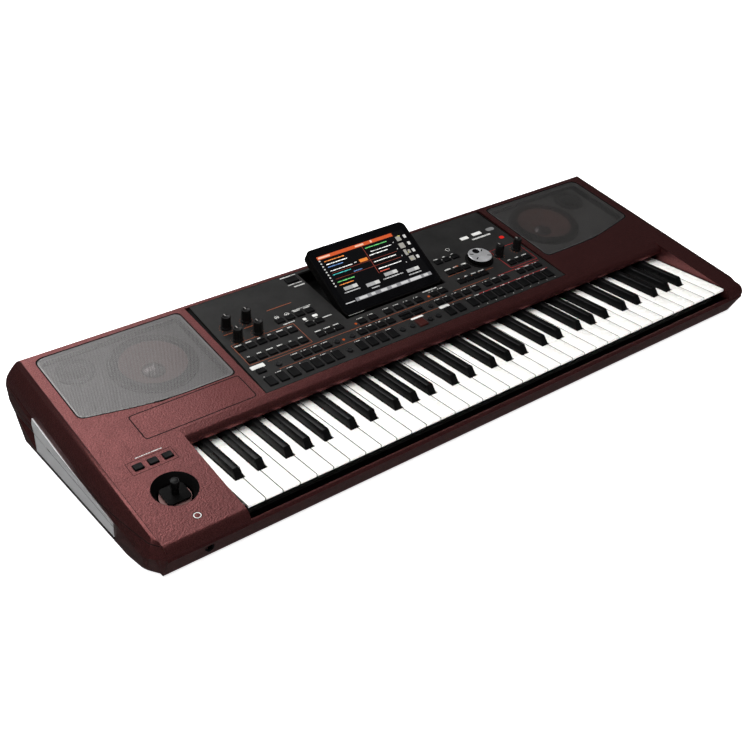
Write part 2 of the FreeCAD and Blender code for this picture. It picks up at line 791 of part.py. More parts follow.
def grille_outline(side, grow):
    """Corners of a grille, for the left (-1) or right (1) end."""
    return [
        (side * (S.grille_in - grow), S.grille_rear + grow),
        (side * (S.grille_in - grow), S.grille_front - grow),
        (side * S.grille_bend, S.grille_front - grow),
        (side * (S.grille_out + grow), S.grille_side - grow),
        (side * (S.grille_out + grow), S.grille_rear + grow),
    ]


def grille_corners(side, grow):
    points = grille_outline(side, grow)
    return [points[0], points[1], points[3], points[4]]


def build_upper_case():
    """Deck with its openings, rear wall, the two blocks and the fallboard, moulded in one."""
    deck = new_body("deck")
    on_deck(deck)
    plate = new_sketch(deck, "XY_Plane", "deck_plate")
    rectangle(plate, -S.seam_half, S.seam_half, S.deck_start, S.deck_end)
    pad(deck, plate, S.wall, down=True)
    bay = new_sketch(deck, "XY_Plane", "key_bay")
    rectangle(bay, S.bay_left, S.bay_right, S.deck_start - S.lap, S.bay_end)
    pocket(deck, bay, S.wall)
    panel = new_sketch(deck, "XY_Plane", "panel_opening")
    rectangle(panel, -S.panel_well, S.panel_well, S.panel_front - S.panel_gap, S.panel_rear + S.panel_gap)
    pocket(deck, panel, S.wall)
    for side, end in ((-1, "left"), (1, "right")):
        mouth = new_sketch(deck, "XY_Plane", "%s_grille_opening" % end)
        outline(mouth, grille_outline(side, S.grille_gap))
        pocket(deck, mouth, S.wall)
        round_edges(deck, S.grille_round + S.grille_gap, upright_at(grille_corners(side, S.grille_gap)))
    bowl = new_sketch(deck, "XY_Plane", "bowl_opening")
    circle(bowl, S.stick_x, S.stick_v, S.bowl_radius)
    pocket(deck, bowl, S.wall)
    switches = new_sketch(deck, "XY_Plane", "switch_openings")
    for x, v in switch_spots():
        block(switches, x, v, S.switch_wide + S.fit * 2, S.switch_high + S.fit * 2)
    pocket(deck, switches, S.wall)
    badge = new_sketch(deck, "XY_Plane", "badge_seat")
    rectangle(badge, S.badge_left - S.fit, S.badge_right + S.fit, S.badge_front - S.fit, S.badge_rear + S.fit)
    pocket(deck, badge, S.badge_sheet)

    rear = new_body("rear_wall")
    section = new_sketch(rear, "YZ_Plane", "rear_section")
    inner_top = deck_point(S.deck_end - S.wall + S.lap / 2, -S.wall)
    inner_high = (S.rear_y - S.wall, S.rear_high_z - S.lap)
    outline(section, [
        deck_rear,
        rear_high,
        rear_low,
        parting,
        (S.parting_y - S.wall, S.parting_z),
        (S.rear_y - S.wall, S.rear_low_z),
        inner_high,
        inner_top,
    ])
    pad(rear, section, S.seam_half * 2, symmetric=True)
    round_edges(rear, S.rear_round, along_x_at([rear_high]))
    slot = new_sketch(rear, "XZ_Plane", "connector_slot", -S.rear_y)
    edge = S.plate_edge
    rectangle(slot, S.plate_left + edge, S.plate_right - edge, S.plate_low_z + edge, S.plate_high_z - edge)
    pocket(rear, slot, S.wall * 2, up=True)

    pieces = [deck, rear]
    skin_end = deck_point(S.deck_start + S.lap * 2)
    skin_under = deck_point(S.deck_start + S.lap * 2, -S.wall)
    fall_top = deck_point(S.bay_end)
    wall_foot = (fall_top[0], S.lip_z)
    for end, outer, inner in (("left", -S.seam_half, S.bay_left), ("right", S.bay_right, S.seam_half)):
        nose = new_body("%s_nose" % end)
        shell = new_sketch(nose, "YZ_Plane", "%s_nose_section" % end, outer)
        inside = (S.nose_y + S.wall, nose_top[1] - S.wall - S.fit)
        outline(shell, [skin_end, nose_top, nose_foot, (S.nose_y + S.wall, S.lip_z), inside, skin_under])
        pad(nose, shell, inner - outer)
        round_edges(nose, S.nose_round, along_x_at([nose_top]))
        round_edges(nose, S.nose_round - S.wall, along_x_at([inside]))
        side_wall = new_body("%s_bay_wall" % end)
        start = S.bay_left - S.wall if end == "left" else S.bay_right
        shape = new_sketch(side_wall, "YZ_Plane", "%s_bay_section" % end, start)
        outline(shape, [fall_top, nose_top, nose_foot, wall_foot])
        pad(side_wall, shape, S.wall)
        round_edges(side_wall, S.nose_round, along_x_at([nose_top]))
        pieces += [nose, side_wall]

    fall = new_body("fallboard")
    curve = new_sketch(fall, "YZ_Plane", "fall_section", S.bay_left - S.lap)
    knee = (S.fall_y + S.lap, S.fall_top_z)
    inner_knee = (S.fall_y + S.lap + S.wall, S.fall_top_z - S.wall)
    outline(curve, [
        deck_point(S.bay_end + S.lap),
        fall_top,
        knee,
        (S.fall_y, S.fall_z),
        (S.fall_y + S.wall, S.fall_z),
        inner_knee,
        deck_point(S.bay_end + S.lap, -S.wall),
    ])
    pad(fall, curve, S.bay_right - S.bay_left + S.lap * 2)
    round_edges(fall, S.fall_round, along_x_at([knee]))
    round_edges(fall, S.fall_round - S.wall, along_x_at([inner_knee]))
    pieces.append(fall)
    node("top_case", fuse("top_case", pieces))


def side_sketch(name, offset):
    """A free sketch in the y, z plane, at a distance to the right of the middle."""
    sketch = doc.addObject("Sketcher::SketchObject", name)
    upright = FreeCAD.Rotation(FreeCAD.Vector(1, 1, 1), 120)
    sketch.Placement = FreeCAD.Placement(FreeCAD.Vector(offset.value, 0, 0), upright)
    bind(sketch, "Placement.Base.x", offset)
    return sketch


def build_cheeks():
    """End pieces: the case's section drawn out, then shaped from above, from the end and in plan."""
    body = new_body("cheek_section")
    section = new_sketch(body, "YZ_Plane", "cheek_outline", S.seam_half)
    outline(section, [deck_rear, rear_high, rear_low, parting, heel, toe, lip_chin, nose_top])
    pad(body, section, half_width - S.seam_half)
    round_edges(body, S.rear_round, along_x_at([rear_high]))
    round_edges(body, S.nose_round, along_x_at([nose_top]))

    crown = new_body("cheek_crown")
    on_deck(crown)
    crown_line = new_sketch(crown, "XZ_Plane", "crown_line")
    deep = S.cheek_depth * 3
    outline(crown_line, [
        (S.seam_half, -deep),
        (half_width, -deep),
        (half_width, -S.cheek_depth),
        (S.seam_half + S.cheek_flat, 0),
        (S.seam_half, 0),
    ], 2, S.cheek_round)
    pad(crown, crown_line, S.deck_end * 3, symmetric=True)

    def flank(name, proud):
        shape = new_body(name)
        line = new_sketch(shape, "XZ_Plane", name + "_line")
        outline(line, [
            (S.seam_half, S.foot_height),
            (S.cheek_base + proud, S.foot_height),
            (S.cheek_waist + proud, S.parting_z - S.seam_groove),
            (S.cheek_waist + proud - S.seam_groove, S.parting_z),
            (S.cheek_waist + proud, S.parting_z + S.seam_groove),
            (half_width + proud, S.cheek_bulge_z),
            (half_width + proud, S.cheek_bulge_z * 2),
            (S.seam_half, S.cheek_bulge_z * 2),
        ])
        pad(shape, line, S.deck_end * 3, symmetric=True)
        return shape

    corner = new_body("cheek_corner_shape")
    plan = new_sketch(corner, "XY_Plane", "corner_line")
    outline(plan, [
        (S.seam_half, S.nose_y),
        (half_width, S.cheek_corner_y),
        (half_width, S.rear_y),
        (S.seam_half, S.rear_y),
    ], 0, S.cheek_corner)
    pad(corner, plan, S.cheek_bulge_z * 2)

    def wedge(name, grow, end):
        sketch = side_sketch(name + "_line", S.seam_half + S.insert_seat)
        outline(sketch, [
            (S.insert_rear_y + grow, S.insert_rear_z + grow),
            (S.insert_heel_y + grow, S.insert_base_z - grow),
            (S.insert_toe_y - grow, S.insert_base_z - grow),
            (S.insert_front_y - grow, S.insert_front_z + grow),
        ])
        return prism(name, sketch, end)

    hollow_sketch = side_sketch("cheek_hollow_line", S.seam_half)
    inset = S.wall * 3
    outline(hollow_sketch, [
        (S.rear_y - inset * 2, S.rear_high_z - inset),
        (S.heel_y - inset * 2, S.foot_height + inset),
        (S.toe_y + inset * 2, S.foot_height + inset),
        (S.toe_y + inset * 2, S.lip_z - inset),
    ])
    hollow = prism("cheek_hollow_tool", hollow_sketch, S.cheek_hollow)
    reach = half_width - S.seam_half
    seat = wedge("insert_seat_tool", S.fit / 2, reach)
    blank = common("cheek_blank", [body, crown, flank("cheek_flank", dim(0)), corner])
    right = cut("right_cheek", blank, fuse("cheek_cuts", [hollow, seat]))
    node("right_cheek", right)
    node("left_cheek", mirrored("left_cheek", right))
    blade = wedge("insert_blank", dim(0), reach)
    insert = common("right_insert", [blade, flank("insert_flank", S.insert_proud)])
    node("end_inserts", group("end_inserts", [insert, mirrored("left_insert", insert)]))


def build_grilles():
    """Sheet grilles with a folded edge that stands on the baffle's rim."""
    for side, end in ((-1, "left"), (1, "right")):
        body = new_body("%s_grille" % end)
        on_deck(body)
        sheet_line = new_sketch(body, "XY_Plane", "%s_sheet" % end, -S.grille_sunk)
        outline(sheet_line, grille_outline(side, dim(0)))
        pad(body, sheet_line, S.wall - S.grille_sunk, down=True)
        round_edges(body, S.grille_round, upright_at(grille_corners(side, dim(0))))
        inside = new_sketch(body, "XY_Plane", "%s_fold" % end, -S.wall)
        outline(inside, grille_outline(side, -S.grille_fold))
        pocket(body, inside, S.wall - S.grille_sunk - S.grille_sheet, up=True)
        node("%s_grille" % end, body)


def build_speakers():
    """Baffle with its chamber walls, woofer, cone and tweeter, for both ends."""
    baffle = new_body("right_baffle")
    on_deck(baffle)
    side = new_sketch(baffle, "YZ_Plane", "baffle_side", S.grille_in - S.baffle_rim)
    front = S.grille_front - S.baffle_rim
    back = S.grille_rear - S.grille_gap
    outline(side, [
        (front, -S.wall),
        (front, -S.baffle_deep),
        (back - S.baffle_rim * 3, S.baffle_rim * 2 - S.baffle_deep),
        (back, -S.baffle_sunk - S.wall),
        (back, -S.wall),
    ])
    pad(baffle, side, S.grille_out - S.grille_in + S.baffle_rim * 2)
    recess = new_sketch(baffle, "XY_Plane", "baffle_recess", -S.wall)
    outline(recess, grille_outline(1, -S.baffle_rim))
    pocket(baffle, recess, S.baffle_sunk - S.wall)
    chamber = new_sketch(baffle, "XY_Plane", "baffle_chamber", -S.baffle_deep)
    rim = S.baffle_rim - S.wall
    rectangle(chamber, S.grille_in - rim, S.grille_out + rim, front + S.wall, back - S.baffle_rim * 4)
    pocket(baffle, chamber, S.baffle_deep - S.baffle_sunk - S.wall, up=True)
    bores = new_sketch(baffle, "XY_Plane", "baffle_bores", -S.baffle_sunk)
    many_sided(bores, S.woofer_x, S.woofer_v, S.woofer_bore, MORE_SIDES)
    many_sided(bores, S.tweeter_x, S.tweeter_v, S.tweeter_bore, MORE_SIDES)
    pocket(baffle, bores, S.baffle_deep)
    node("speaker_baffles", group("speaker_baffles", [baffle, mirrored("left_baffle", baffle)]))

    face = -S.baffle_sunk
    rim_z = face + S.wall
    throat = S.woofer_bore - S.grille_gap
    basket = new_body("right_woofer")
    on_deck(basket)
    flange = new_sketch(basket, "XY_Plane", "woofer_flange", face)
    many_sided(flange, S.woofer_x, S.woofer_v, S.woofer_radius, MORE_SIDES)
    pad(basket, flange, S.wall)
    cup = new_sketch(basket, "XY_Plane", "woofer_cup", face)
    many_sided(cup, S.woofer_x, S.woofer_v, throat, MORE_SIDES)
    pad(basket, cup, S.basket_deep, down=True)
    inside = new_sketch(basket, "XY_Plane", "woofer_inside", rim_z)
    many_sided(inside, S.woofer_x, S.woofer_v, throat - S.wall, MORE_SIDES)
    pocket(basket, inside, S.basket_deep)
    magnet = new_sketch(basket, "XY_Plane", "woofer_magnet", face - S.basket_deep)
    many_sided(magnet, S.woofer_x, S.woofer_v, S.magnet_radius, MORE_SIDES)
    pad(basket, magnet, S.magnet_deep, down=True)
    node("woofers", group("woofers", [basket, mirrored("left_woofer", basket)]))
    cone = body_on_deck("right_cone", S.woofer_x, S.woofer_v)
    surround = new_sketch(cone, "XY_Plane", "cone_surround", rim_z)
    many_sided(surround, 0, 0, S.cone_radius + S.surround_wide, MORE_SIDES)
    many_sided(surround, 0, 0, S.cone_radius - S.cone_sheet, MORE_SIDES)
    pad(cone, surround, S.surround_high)
    dish = new_sketch(cone, "XY_Plane", "cone_dish_outside", rim_z)
    many_sided(dish, 0, 0, S.cone_radius, MORE_SIDES)
    pad(cone, dish, S.cone_dish + S.cone_sheet, down=True)
    step = (S.cone_radius - S.cone_sheet - S.cap_radius) / CONE_STEPS
    for number in range(CONE_STEPS):
        ring = new_sketch(cone, "XY_Plane", "cone_step_%d" % number, rim_z)
        many_sided(ring, 0, 0, S.cone_radius - S.cone_sheet - step * number, MORE_SIDES)
        pocket(cone, ring, S.cone_dish * (number + 1) / CONE_STEPS)
    cap = new_sketch(cone, "XY_Plane", "dust_cap", rim_z - S.cone_dish)
    many_sided(cap, 0, 0, S.cap_radius, MORE_SIDES)
    pad(cone, cap, S.cap_rise)
    node("woofer_cones", group("woofer_cones", [cone, mirrored("left_cone", cone)]))
    tweeter = body_on_deck("right_tweeter", S.tweeter_x, S.tweeter_v)
    plate = new_sketch(tweeter, "XY_Plane", "tweeter_plate", face)
    many_sided(plate, 0, 0, S.tweeter_radius, MORE_SIDES)
    pad(tweeter, plate, S.wall)
    dome = new_sketch(tweeter, "XY_Plane", "tweeter_dome", rim_z)
    many_sided(dome, 0, 0, S.dome_radius, MORE_SIDES)
    pad(tweeter, dome, S.dome_rise)
    stem = new_sketch(tweeter, "XY_Plane", "tweeter_stem", face)
    many_sided(stem, 0, 0, S.tweeter_bore - S.grille_gap, MORE_SIDES)
    pad(tweeter, stem, S.basket_deep, down=True)
    node("tweeters", group("tweeters", [tweeter, mirrored("left_tweeter", tweeter)]))


def build_badge():
    body = new_body("badge_plate")
    on_deck(body)
    plate = new_sketch(body, "XY_Plane", "badge_outline")
    rectangle(plate, S.badge_left, S.badge_right, S.badge_front, S.badge_rear)
    pad(body, plate, S.badge_sheet, down=True)
    corners = [(x, y) for x in (S.badge_left, S.badge_right) for y in (S.badge_front, S.badge_rear)]
    round_edges(body, S.badge_round, upright_at(corners))
    node("badge_plate", body)


# Rows of buttons: count, first x, pitch and row, from left to right.
STYLE_ROWS = (
    (4, -169, 16, S.media_row),
    (6, -246.5, 16.1, S.style_row_up),
    (6, -246.5, 16.1, S.style_row),
    (2, -137.5, 15, S.style_row_up),
    (3, -137.5, 14.75, S.style_row),
)
MIDDLE_ROWS = (
    (1, -247.5, 16, S.second_row),
    (4, -193, 16, S.second_row),
    (4, -86, 16.2, S.second_row),
    (2, 51, 15.5, S.second_row),
    (3, 84, 18, S.second_row),
    (3, 143, 17, S.second_row),
    (3, 210, 17, S.second_row),
    (2, -72, 18.5, S.third_row),
    (4, -27, 18.3, S.third_row),
    (2, 57, 16, S.third_row),
)
FRONT_ROWS = (
    (3, -247.5, 17.5, S.front_row),
    (4, -193, 16.5, S.front_row),
    (4, -104.5, 17.5, S.front_row),
    (2, 51, 18, S.front_row),
    (10, 94, 16.6, S.front_row),
)
PAGE_ROWS = (
    (3, 114, 16, S.page_row),
    (3, 113, 15, S.style_row_up),
    (4, 113, 14.6, S.style_row),
    (3, 214, 15.5, S.style_row),
)
ROUND_ROWS = (
    (1, -221, 16, S.second_row),
    (2, -128.5, 25, S.second_row),
    (1, 34, 16, S.second_row),
    (1, -124, 16, S.front_row),
    (2, -35, 17.5, S.front_row),
    (2, 14, 15, S.front_row),
)


def row_spots(rows):
    for count, first, pitch, row in rows:
        for number in range(count):
            yield dim(first + pitch * number), row


def tempo_spots():
    """The two by two block of flat buttons in the middle of the second row."""
    for across in (-11, 11):
        for up in (-0.5, 0.5):
            yield dim(across), S.second_row + S.tempo_step * up


def switch_spots():
    for number in range(3):
        yield S.switch_x + S.switch_pitch * number, S.switch_v


# Kinds of button: width and height of the cap; the round one has a radius instead.
CAPS = {
    "square": (S.button_wide, S.button_high),
    "tall": (S.button_wide, S.button_tall),
    "tempo": (S.tempo_wide, S.tempo_high),
    "start": (S.start_wide, S.start_high),
    "power": (S.power_wide, S.power_high),
    "switch": (S.switch_wide, S.switch_high),
    "round": (S.round_radius,),
}
# Blocks of buttons: the kinds of cap in each and where they stand.
PANEL_BUTTONS = {
    "style_buttons": [("square", list(row_spots(STYLE_ROWS)))],
    "middle_buttons": [("square", list(row_spots(MIDDLE_ROWS))), ("tempo", list(tempo_spots()))],
    "front_buttons": [("tall", list(row_spots(FRONT_ROWS)))],
    "page_buttons": [("square", list(row_spots(PAGE_ROWS)))],
    "round_buttons": [("round", list(row_spots(ROUND_ROWS)))],
    "start_button": [("start", [(S.start_x, S.front_row)])],
    "power_button": [("power", [(S.power_x, S.power_v)])],
}


def cap_line(kind, name, grow, depth=0):
    """Outline of one cap about its own middle, at a depth below the panel."""
    sketch = doc.addObject("Sketcher::SketchObject", name)
    place(sketch, z=-dim(depth))
    sizes = CAPS[kind]
    if len(sizes) == 1:
        return many_sided(sketch, 0, 0, sizes[0] + grow, MORE_SIDES)
    return block(sketch, dim(0), dim(0), sizes[0] + grow * 2, sizes[1] + grow * 2)


def deck_links(name, source, spots):
    """Copies of a piece that stand on the deck."""
    links = []
    for number, (x, v) in enumerate(spots, start=1):
        link = doc.addObject("App::Link", "%s_%d" % (name, number))
        link.LinkedObject = source
        y, z = deck_point(v)
        place(link, x, y, z, S.slope, prop="LinkPlacement")
        links.append(link)
    return links


def knob_spots():
    """Plan points of the knobs: four at the left, two at the right."""
    for up in range(2):
        for across in range(2):
            yield S.left_knob_x + S.left_knob_pitch * across, S.left_knob_v + S.left_knob_step * up
    for across in range(2):
        yield S.right_knob_x + S.right_knob_pitch * across, S.right_knob_v


def well_half():
    """Half width of the display's well."""
    return S.display_wide / 2 + S.well_side


def build_panel():
    """Control panel with its openings, and the frame that carries it."""
    body = new_body("panel_plate")
    on_deck(body)
    face = new_sketch(body, "XY_Plane", "panel_face")
    outline(face, [
        (-S.panel_front_half, S.panel_front),
        (S.panel_front_half, S.panel_front),
        (S.panel_rear_half, S.panel_rear),
        (-S.panel_rear_half, S.panel_rear),
    ])
    pad(body, face, S.wall, down=True)
    mouth = new_sketch(body, "XY_Plane", "display_opening")
    rectangle(mouth, S.display_x - well_half(), S.display_x + well_half(), S.well_front, S.well_rear)
    pocket(body, mouth, S.wall)
    bushes = new_sketch(body, "XY_Plane", "bush_holes")
    for x, y in knob_spots():
        many_sided(bushes, x, y, S.bush_radius, FEW_SIDES)
    many_sided(bushes, S.dial_x, S.dial_v, S.bush_radius, FEW_SIDES)
    pocket(body, bushes, S.wall)
    holes = {}
    for kind in CAPS:
        holes[kind] = prism(kind + "_hole", cap_line(kind, kind + "_hole_line", S.fit), S.wall, S.wall * 2)
    tools = []
    for name, kinds in PANEL_BUTTONS.items():
        for kind, spots in kinds:
            tools += deck_links("%s_%s_hole" % (name, kind), holes[kind], spots)
    node("control_panel", cut("control_panel", body, group("panel_holes", tools)))

    frame = new_body("panel_frame")
    on_deck(frame)
    ring = new_sketch(frame, "XY_Plane", "frame_ring", -S.wall)
    rectangle(ring, -S.frame_half, S.frame_half, S.frame_front, S.frame_rear)
    rectangle(ring, -S.frame_open, S.frame_open, S.frame_bar_front, S.frame_bar_rear)
    pad(frame, ring, S.wall, down=True)
    node("panel_frame", frame)


def build_panel_board():
    """U-shaped board round the display's well, hung from the panel on posts."""
    body = new_body("panel_board")
    on_deck(body)
    sheet_line = new_sketch(body, "XY_Plane", "panel_board_line", -S.board_drop)
    side = S.frame_open - S.board_edge
    low = S.frame_bar_front + S.lap
    high = S.frame_bar_rear - S.board_edge
    hole = well_half() + S.well_wall + S.board_edge / 2
    turn = S.well_front - S.well_wall - S.board_edge / 2
    outline(sheet_line, [
        (-side, low),
        (side, low),
        (side, high),
        (S.display_x + hole, high),
        (S.display_x + hole, turn),
        (S.display_x - hole, turn),
        (S.display_x - hole, high),
        (-side, high),
    ])
    pad(body, sheet_line, S.board_sheet, down=True)
    posts = new_sketch(body, "XY_Plane", "panel_board_posts", -S.board_drop)
    for x in (-side + S.board_edge, side - S.board_edge):
        block(posts, x, high - S.board_edge, S.post_wide, S.post_wide)
        block(posts, x, S.style_row_up + S.board_edge * 2, S.post_wide, S.post_wide)
    for x in (-hole, hole):
        block(posts, x, turn - S.board_edge / 2, S.post_wide, S.post_wide)
    pad(body, posts, S.board_drop - S.wall)
    node("panel_board", body)


def build_potentiometers():
    """Potentiometers and the dial's encoder, on the panel board."""
    body = new_body("potentiometers")
    on_deck(body)
    cans = new_sketch(body, "XY_Plane", "pot_cans", -S.board_drop)
    for x, y in list(knob_spots()) + [(S.dial_x, S.dial_v)]:
        block(cans, x, y, S.can_wide, S.can_wide)
    pad(body, cans, S.board_drop - S.wall - S.can_drop)
    node("potentiometers", body)


def add_shaft(knob, name, lift):
    """The shaft of a knob, down through the panel to just above its potentiometer."""
    shaft = new_sketch(knob, "XY_Plane", name + "_shaft", lift)
    many_sided(shaft, 0, 0, S.shaft_radius, FEW_SIDES)
    pad(knob, shaft, lift + S.wall + S.can_drop / 4, down=True)


def build_knobs():
    names = (
        "left_knob_1", "left_knob_2", "left_knob_3", "left_knob_4", "right_knob_1", "right_knob_2",
    )
    top = S.knob_lift + S.knob_high
    for name, (x, v) in zip(names, knob_spots()):
        knob = body_on_deck(name, x, v)
        grip = new_sketch(knob, "XY_Plane", name + "_grip", S.knob_lift)
        many_sided(grip, 0, 0, S.knob_radius, MANY_SIDES)
        pad(knob, grip, S.knob_high)
        mark = new_sketch(knob, "XY_Plane", name + "_mark", top)
        rectangle(mark, -S.mark_half, S.mark_half, S.knob_radius - S.mark_long, S.knob_radius + S.mark_half)
        pocket(knob, mark, S.mark_half)
        add_shaft(knob, name, S.knob_lift)
        node(name, knob)
    dial = body_on_deck("value_dial", S.dial_x, S.dial_v)
    disc = new_sketch(dial, "XY_Plane", "dial_disc", S.dial_lift)
    many_sided(disc, 0, 0, S.dial_radius, MANY_SIDES)
    pad(dial, disc, S.dial_high)
    dimple = new_sketch(dial, "XY_Plane", "dial_dimple", S.dial_lift + S.dial_high)
    many_sided(dimple, 0, S.dimple_out, S.dimple_radius, MORE_SIDES)
    pocket(dial, dimple, S.dimple_depth)
    add_shaft(dial, "value_dial", S.dial_lift)
    node("value_dial", dial)


def build_buttons():
    """Caps of each block of buttons, and the assignable switches."""
    caps = {}
    for kind in CAPS:
        line = cap_line(kind, kind + "_cap_line", dim(0), S.press_foot)
        caps[kind] = prism(kind + "_cap", line, S.press_foot + S.press_top)
    blocks = dict(PANEL_BUTTONS)
    blocks["assign_switches"] = [("switch", list(switch_spots()))]
    for name, kinds in blocks.items():
        pieces = []
        for kind, spots in kinds:
            pieces += deck_links("%s_%s" % (name, kind), caps[kind], spots)
        node(name, group(name, pieces))


def build_display():
    """Tilting display on trunnions, its glass, and the well with the bores for them."""
    pivot = deck_point(S.hinge_v, -S.hinge_drop)
    lean = S.slope + S.display_tilt
    half = S.display_wide / 2
    thick = S.display_thick / 2
    body = new_body("display_housing")
    place(body, S.display_x, pivot[0], pivot[1], lean)
    face = new_sketch(body, "XY_Plane", "display_face", S.display_lift - thick)
    rectangle(face, -half, half, -S.display_tail, S.display_tall)
    pad(body, face, S.display_thick)
    glass_seat = new_sketch(body, "XY_Plane", "glass_seat", S.display_lift + thick)
    inset = S.glass_inset
    rectangle(glass_seat, -half + inset, half - inset, -S.display_tail + inset, S.display_tall - inset)
    pocket(body, glass_seat, S.glass_sheet)
    round_edges(body, S.display_round - inset, upright_at([
        (x, y)
        for x in (-half + inset, half - inset)
        for y in (-S.display_tail + inset, S.display_tall - inset)
    ]))
    corners = [(x, y) for x in (-half, half) for y in (-S.display_tail, S.display_tall)]
    round_edges(body, S.display_round, upright_at(corners))
    reach = S.well_side + S.well_wall - S.fit
    for side, start in (("left", -half - reach), ("right", half - S.lap)):
        pin = new_sketch(body, "YZ_Plane", "%s_trunnion" % side, start)
        many_sided(pin, 0, 0, S.hinge_radius, MORE_SIDES)
        pad(body, pin, reach + S.lap)
    node("display_housing", body)

    glass = new_body("display_glass")
    place(glass, S.display_x, pivot[0], pivot[1], lean)
    pane = new_sketch(glass, "XY_Plane", "glass_pane", S.display_lift + thick - S.glass_sheet)
    edge = inset + S.fit / 2
    rectangle(pane, -half + edge, half - edge, -S.display_tail + edge, S.display_tall - edge)
    pad(glass, pane, S.glass_sheet)
    round_edges(glass, S.display_round - edge, upright_at([
        (x, y)
        for x in (-half + edge, half - edge)
        for y in (-S.display_tail + edge, S.display_tall - edge)
    ]))
    node("display_glass", glass)

    well = new_body("display_well")
    on_deck(well)
    tub = new_sketch(well, "XY_Plane", "well_outer", -S.wall)
    reach = well_half() + S.well_wall
    low = S.well_front - S.well_wall
    high = S.well_rear + S.well_wall
    rectangle(tub, S.display_x - reach, S.display_x + reach, low, high)
    pad(well, tub, S.well_floor + S.well_wall - S.wall, down=True)
    inside = new_sketch(well, "XY_Plane", "well_inner", -S.wall)
    rectangle(inside, S.display_x - well_half(), S.display_x + well_half(), S.well_front, S.well_rear)
    pocket(well, inside, S.well_floor - S.wall)
    bearings = new_sketch(well, "YZ_Plane", "hinge_bearings", S.display_x)
    play = S.hinge_radius + S.pivot_fit
    rectangle(bearings, S.hinge_v - play, S.hinge_v + play, -S.hinge_drop - play, dim(0))
    pocket(well, bearings)
    node("display_well", well)


def build_joystick():
    """Cup with its bowl, gimbal yoke on trunnions and the stick with its square plate."""
    cup = body_on_deck("joystick_housing", S.stick_x, S.stick_v)
    rim = new_sketch(cup, "XY_Plane", "bowl_outside", -S.wall)
    many_sided(rim, 0, 0, S.bowl_radius + S.wall, MANY_SIDES)
    pad(cup, rim, S.bowl_depth + S.cup_wall - S.wall, down=True)
    bowl = new_sketch(cup, "XY_Plane", "bowl_inside", -S.wall)
    many_sided(bowl, 0, 0, S.bowl_radius + S.fit, MANY_SIDES)
    pocket(cup, bowl, S.bowl_depth - S.wall)
    shell = new_sketch(cup, "XY_Plane", "cup_outside", -S.bowl_depth)
    many_sided(shell, 0, 0, (S.bowl_inner + S.cup_wall) * OVER_CORNERS, MORE_SIDES)
    pad(cup, shell, S.cup_depth + S.cup_wall - S.bowl_depth, down=True)
    hollow = new_sketch(cup, "XY_Plane", "cup_inside", -S.bowl_depth)
    many_sided(hollow, 0, 0, S.bowl_inner * OVER_CORNERS, MORE_SIDES)
    pocket(cup, hollow, S.cup_depth - S.bowl_depth)
    bores = new_sketch(cup, "YZ_Plane", "yoke_bores")
    many_sided(bores, 0, -S.stick_drop, S.stick_pin + S.pin_play, FEW_SIDES)
    pocket(cup, bores)
    node("joystick_housing", cup)

    y, z = deck_point(S.stick_v, -S.stick_drop)
    yoke = new_body("joystick_yoke")
    place(yoke, S.stick_x, y, z, S.slope)
    ring = new_sketch(yoke, "XY_Plane", "yoke_ring")
    block(ring, dim(0), dim(0), S.yoke_half * 2, S.yoke_half * 2)
    block(ring, dim(0), dim(0), S.yoke_open * 2, S.yoke_open * 2)
    pad(yoke, ring, S.yoke_high, symmetric=True)
    reach = S.bowl_inner + S.cup_wall - S.fit
    for sign, side in ((-1, "left"), (1, "right")):
        start = S.yoke_half if sign > 0 else -reach
        pin = new_sketch(yoke, "YZ_Plane", "yoke_%s_pin" % side, start)
        many_sided(pin, 0, 0, S.stick_pin, MORE_SIDES)
        pad(yoke, pin, reach - S.yoke_half)
    cross = new_sketch(yoke, "XZ_Plane", "yoke_cross_bore")
    many_sided(cross, 0, 0, S.stick_pin + S.pin_play, FEW_SIDES)
    pocket(yoke, cross)
    node("joystick_yoke", yoke)

    stick = new_body("joystick_stick")
    place(stick, S.stick_x, y, z, S.slope)
    low = -S.yoke_high / 2
    neck = S.stick_drop + S.stick_rise - S.stick_head
    shaft = new_sketch(stick, "XY_Plane", "stick_shaft", low)
    many_sided(shaft, 0, 0, S.stick_radius, MORE_SIDES)
    pad(stick, shaft, neck - low)
    head = new_sketch(stick, "XY_Plane", "stick_cap", neck)
    many_sided(head, 0, 0, S.stick_head_radius, MORE_SIDES)
    pad(stick, head, S.stick_head)
    plate = new_sketch(stick, "XY_Plane", "stick_plate", S.stick_drop - S.plate_drop)
    wide = S.plate_wide / 2
    long = S.plate_long / 2
    snub = S.plate_snub
    outline(plate, [
        (wide - snub, -long),
        (wide, snub - long),
        (wide, long - snub),
        (wide - snub, long),
        (snub - wide, long),
        (-wide, long - snub),
        (-wide, snub - long),
        (snub - wide, -long),
    ])
    pad(stick, plate, S.plate_sheet)
    pin = new_sketch(stick, "XZ_Plane", "stick_cross_pin")
    many_sided(pin, 0, 0, S.stick_pin, MORE_SIDES)
    pad(stick, pin, S.yoke_half * 2 - S.fit, symmetric=True)
    node("joystick_stick", stick)


# White keys of an octave: name, place, black key at its left, black key at its right.
WHITE_KEYS = (
    ("key_c", 0, None, 0),
    ("key_d", 1, 0, 1),
    ("key_e", 2, 1, None),
    ("key_f", 3, None, 2),
    ("key_g", 4, 2, 3),
    ("key_a", 5, 3, 4),
    ("key_b", 6, 4, None),
)
# Black keys of an octave: name, key line that they stand on, offset from it.
BLACK_KEYS = (
    ("key_c_sharp", 1, -S.outer_shift),
    ("key_d_sharp", 2, S.outer_shift),
    ("key_f_sharp", 4, -S.group_shift),
    ("key_g_sharp", 5, dim(0)),
    ("key_a_sharp", 6, S.group_shift),
)
octave = S.key_pitch * 7
key_room = S.bay_right - S.key_first_x - S.key_pitch
OCTAVES = int(key_room.value / octave.value)


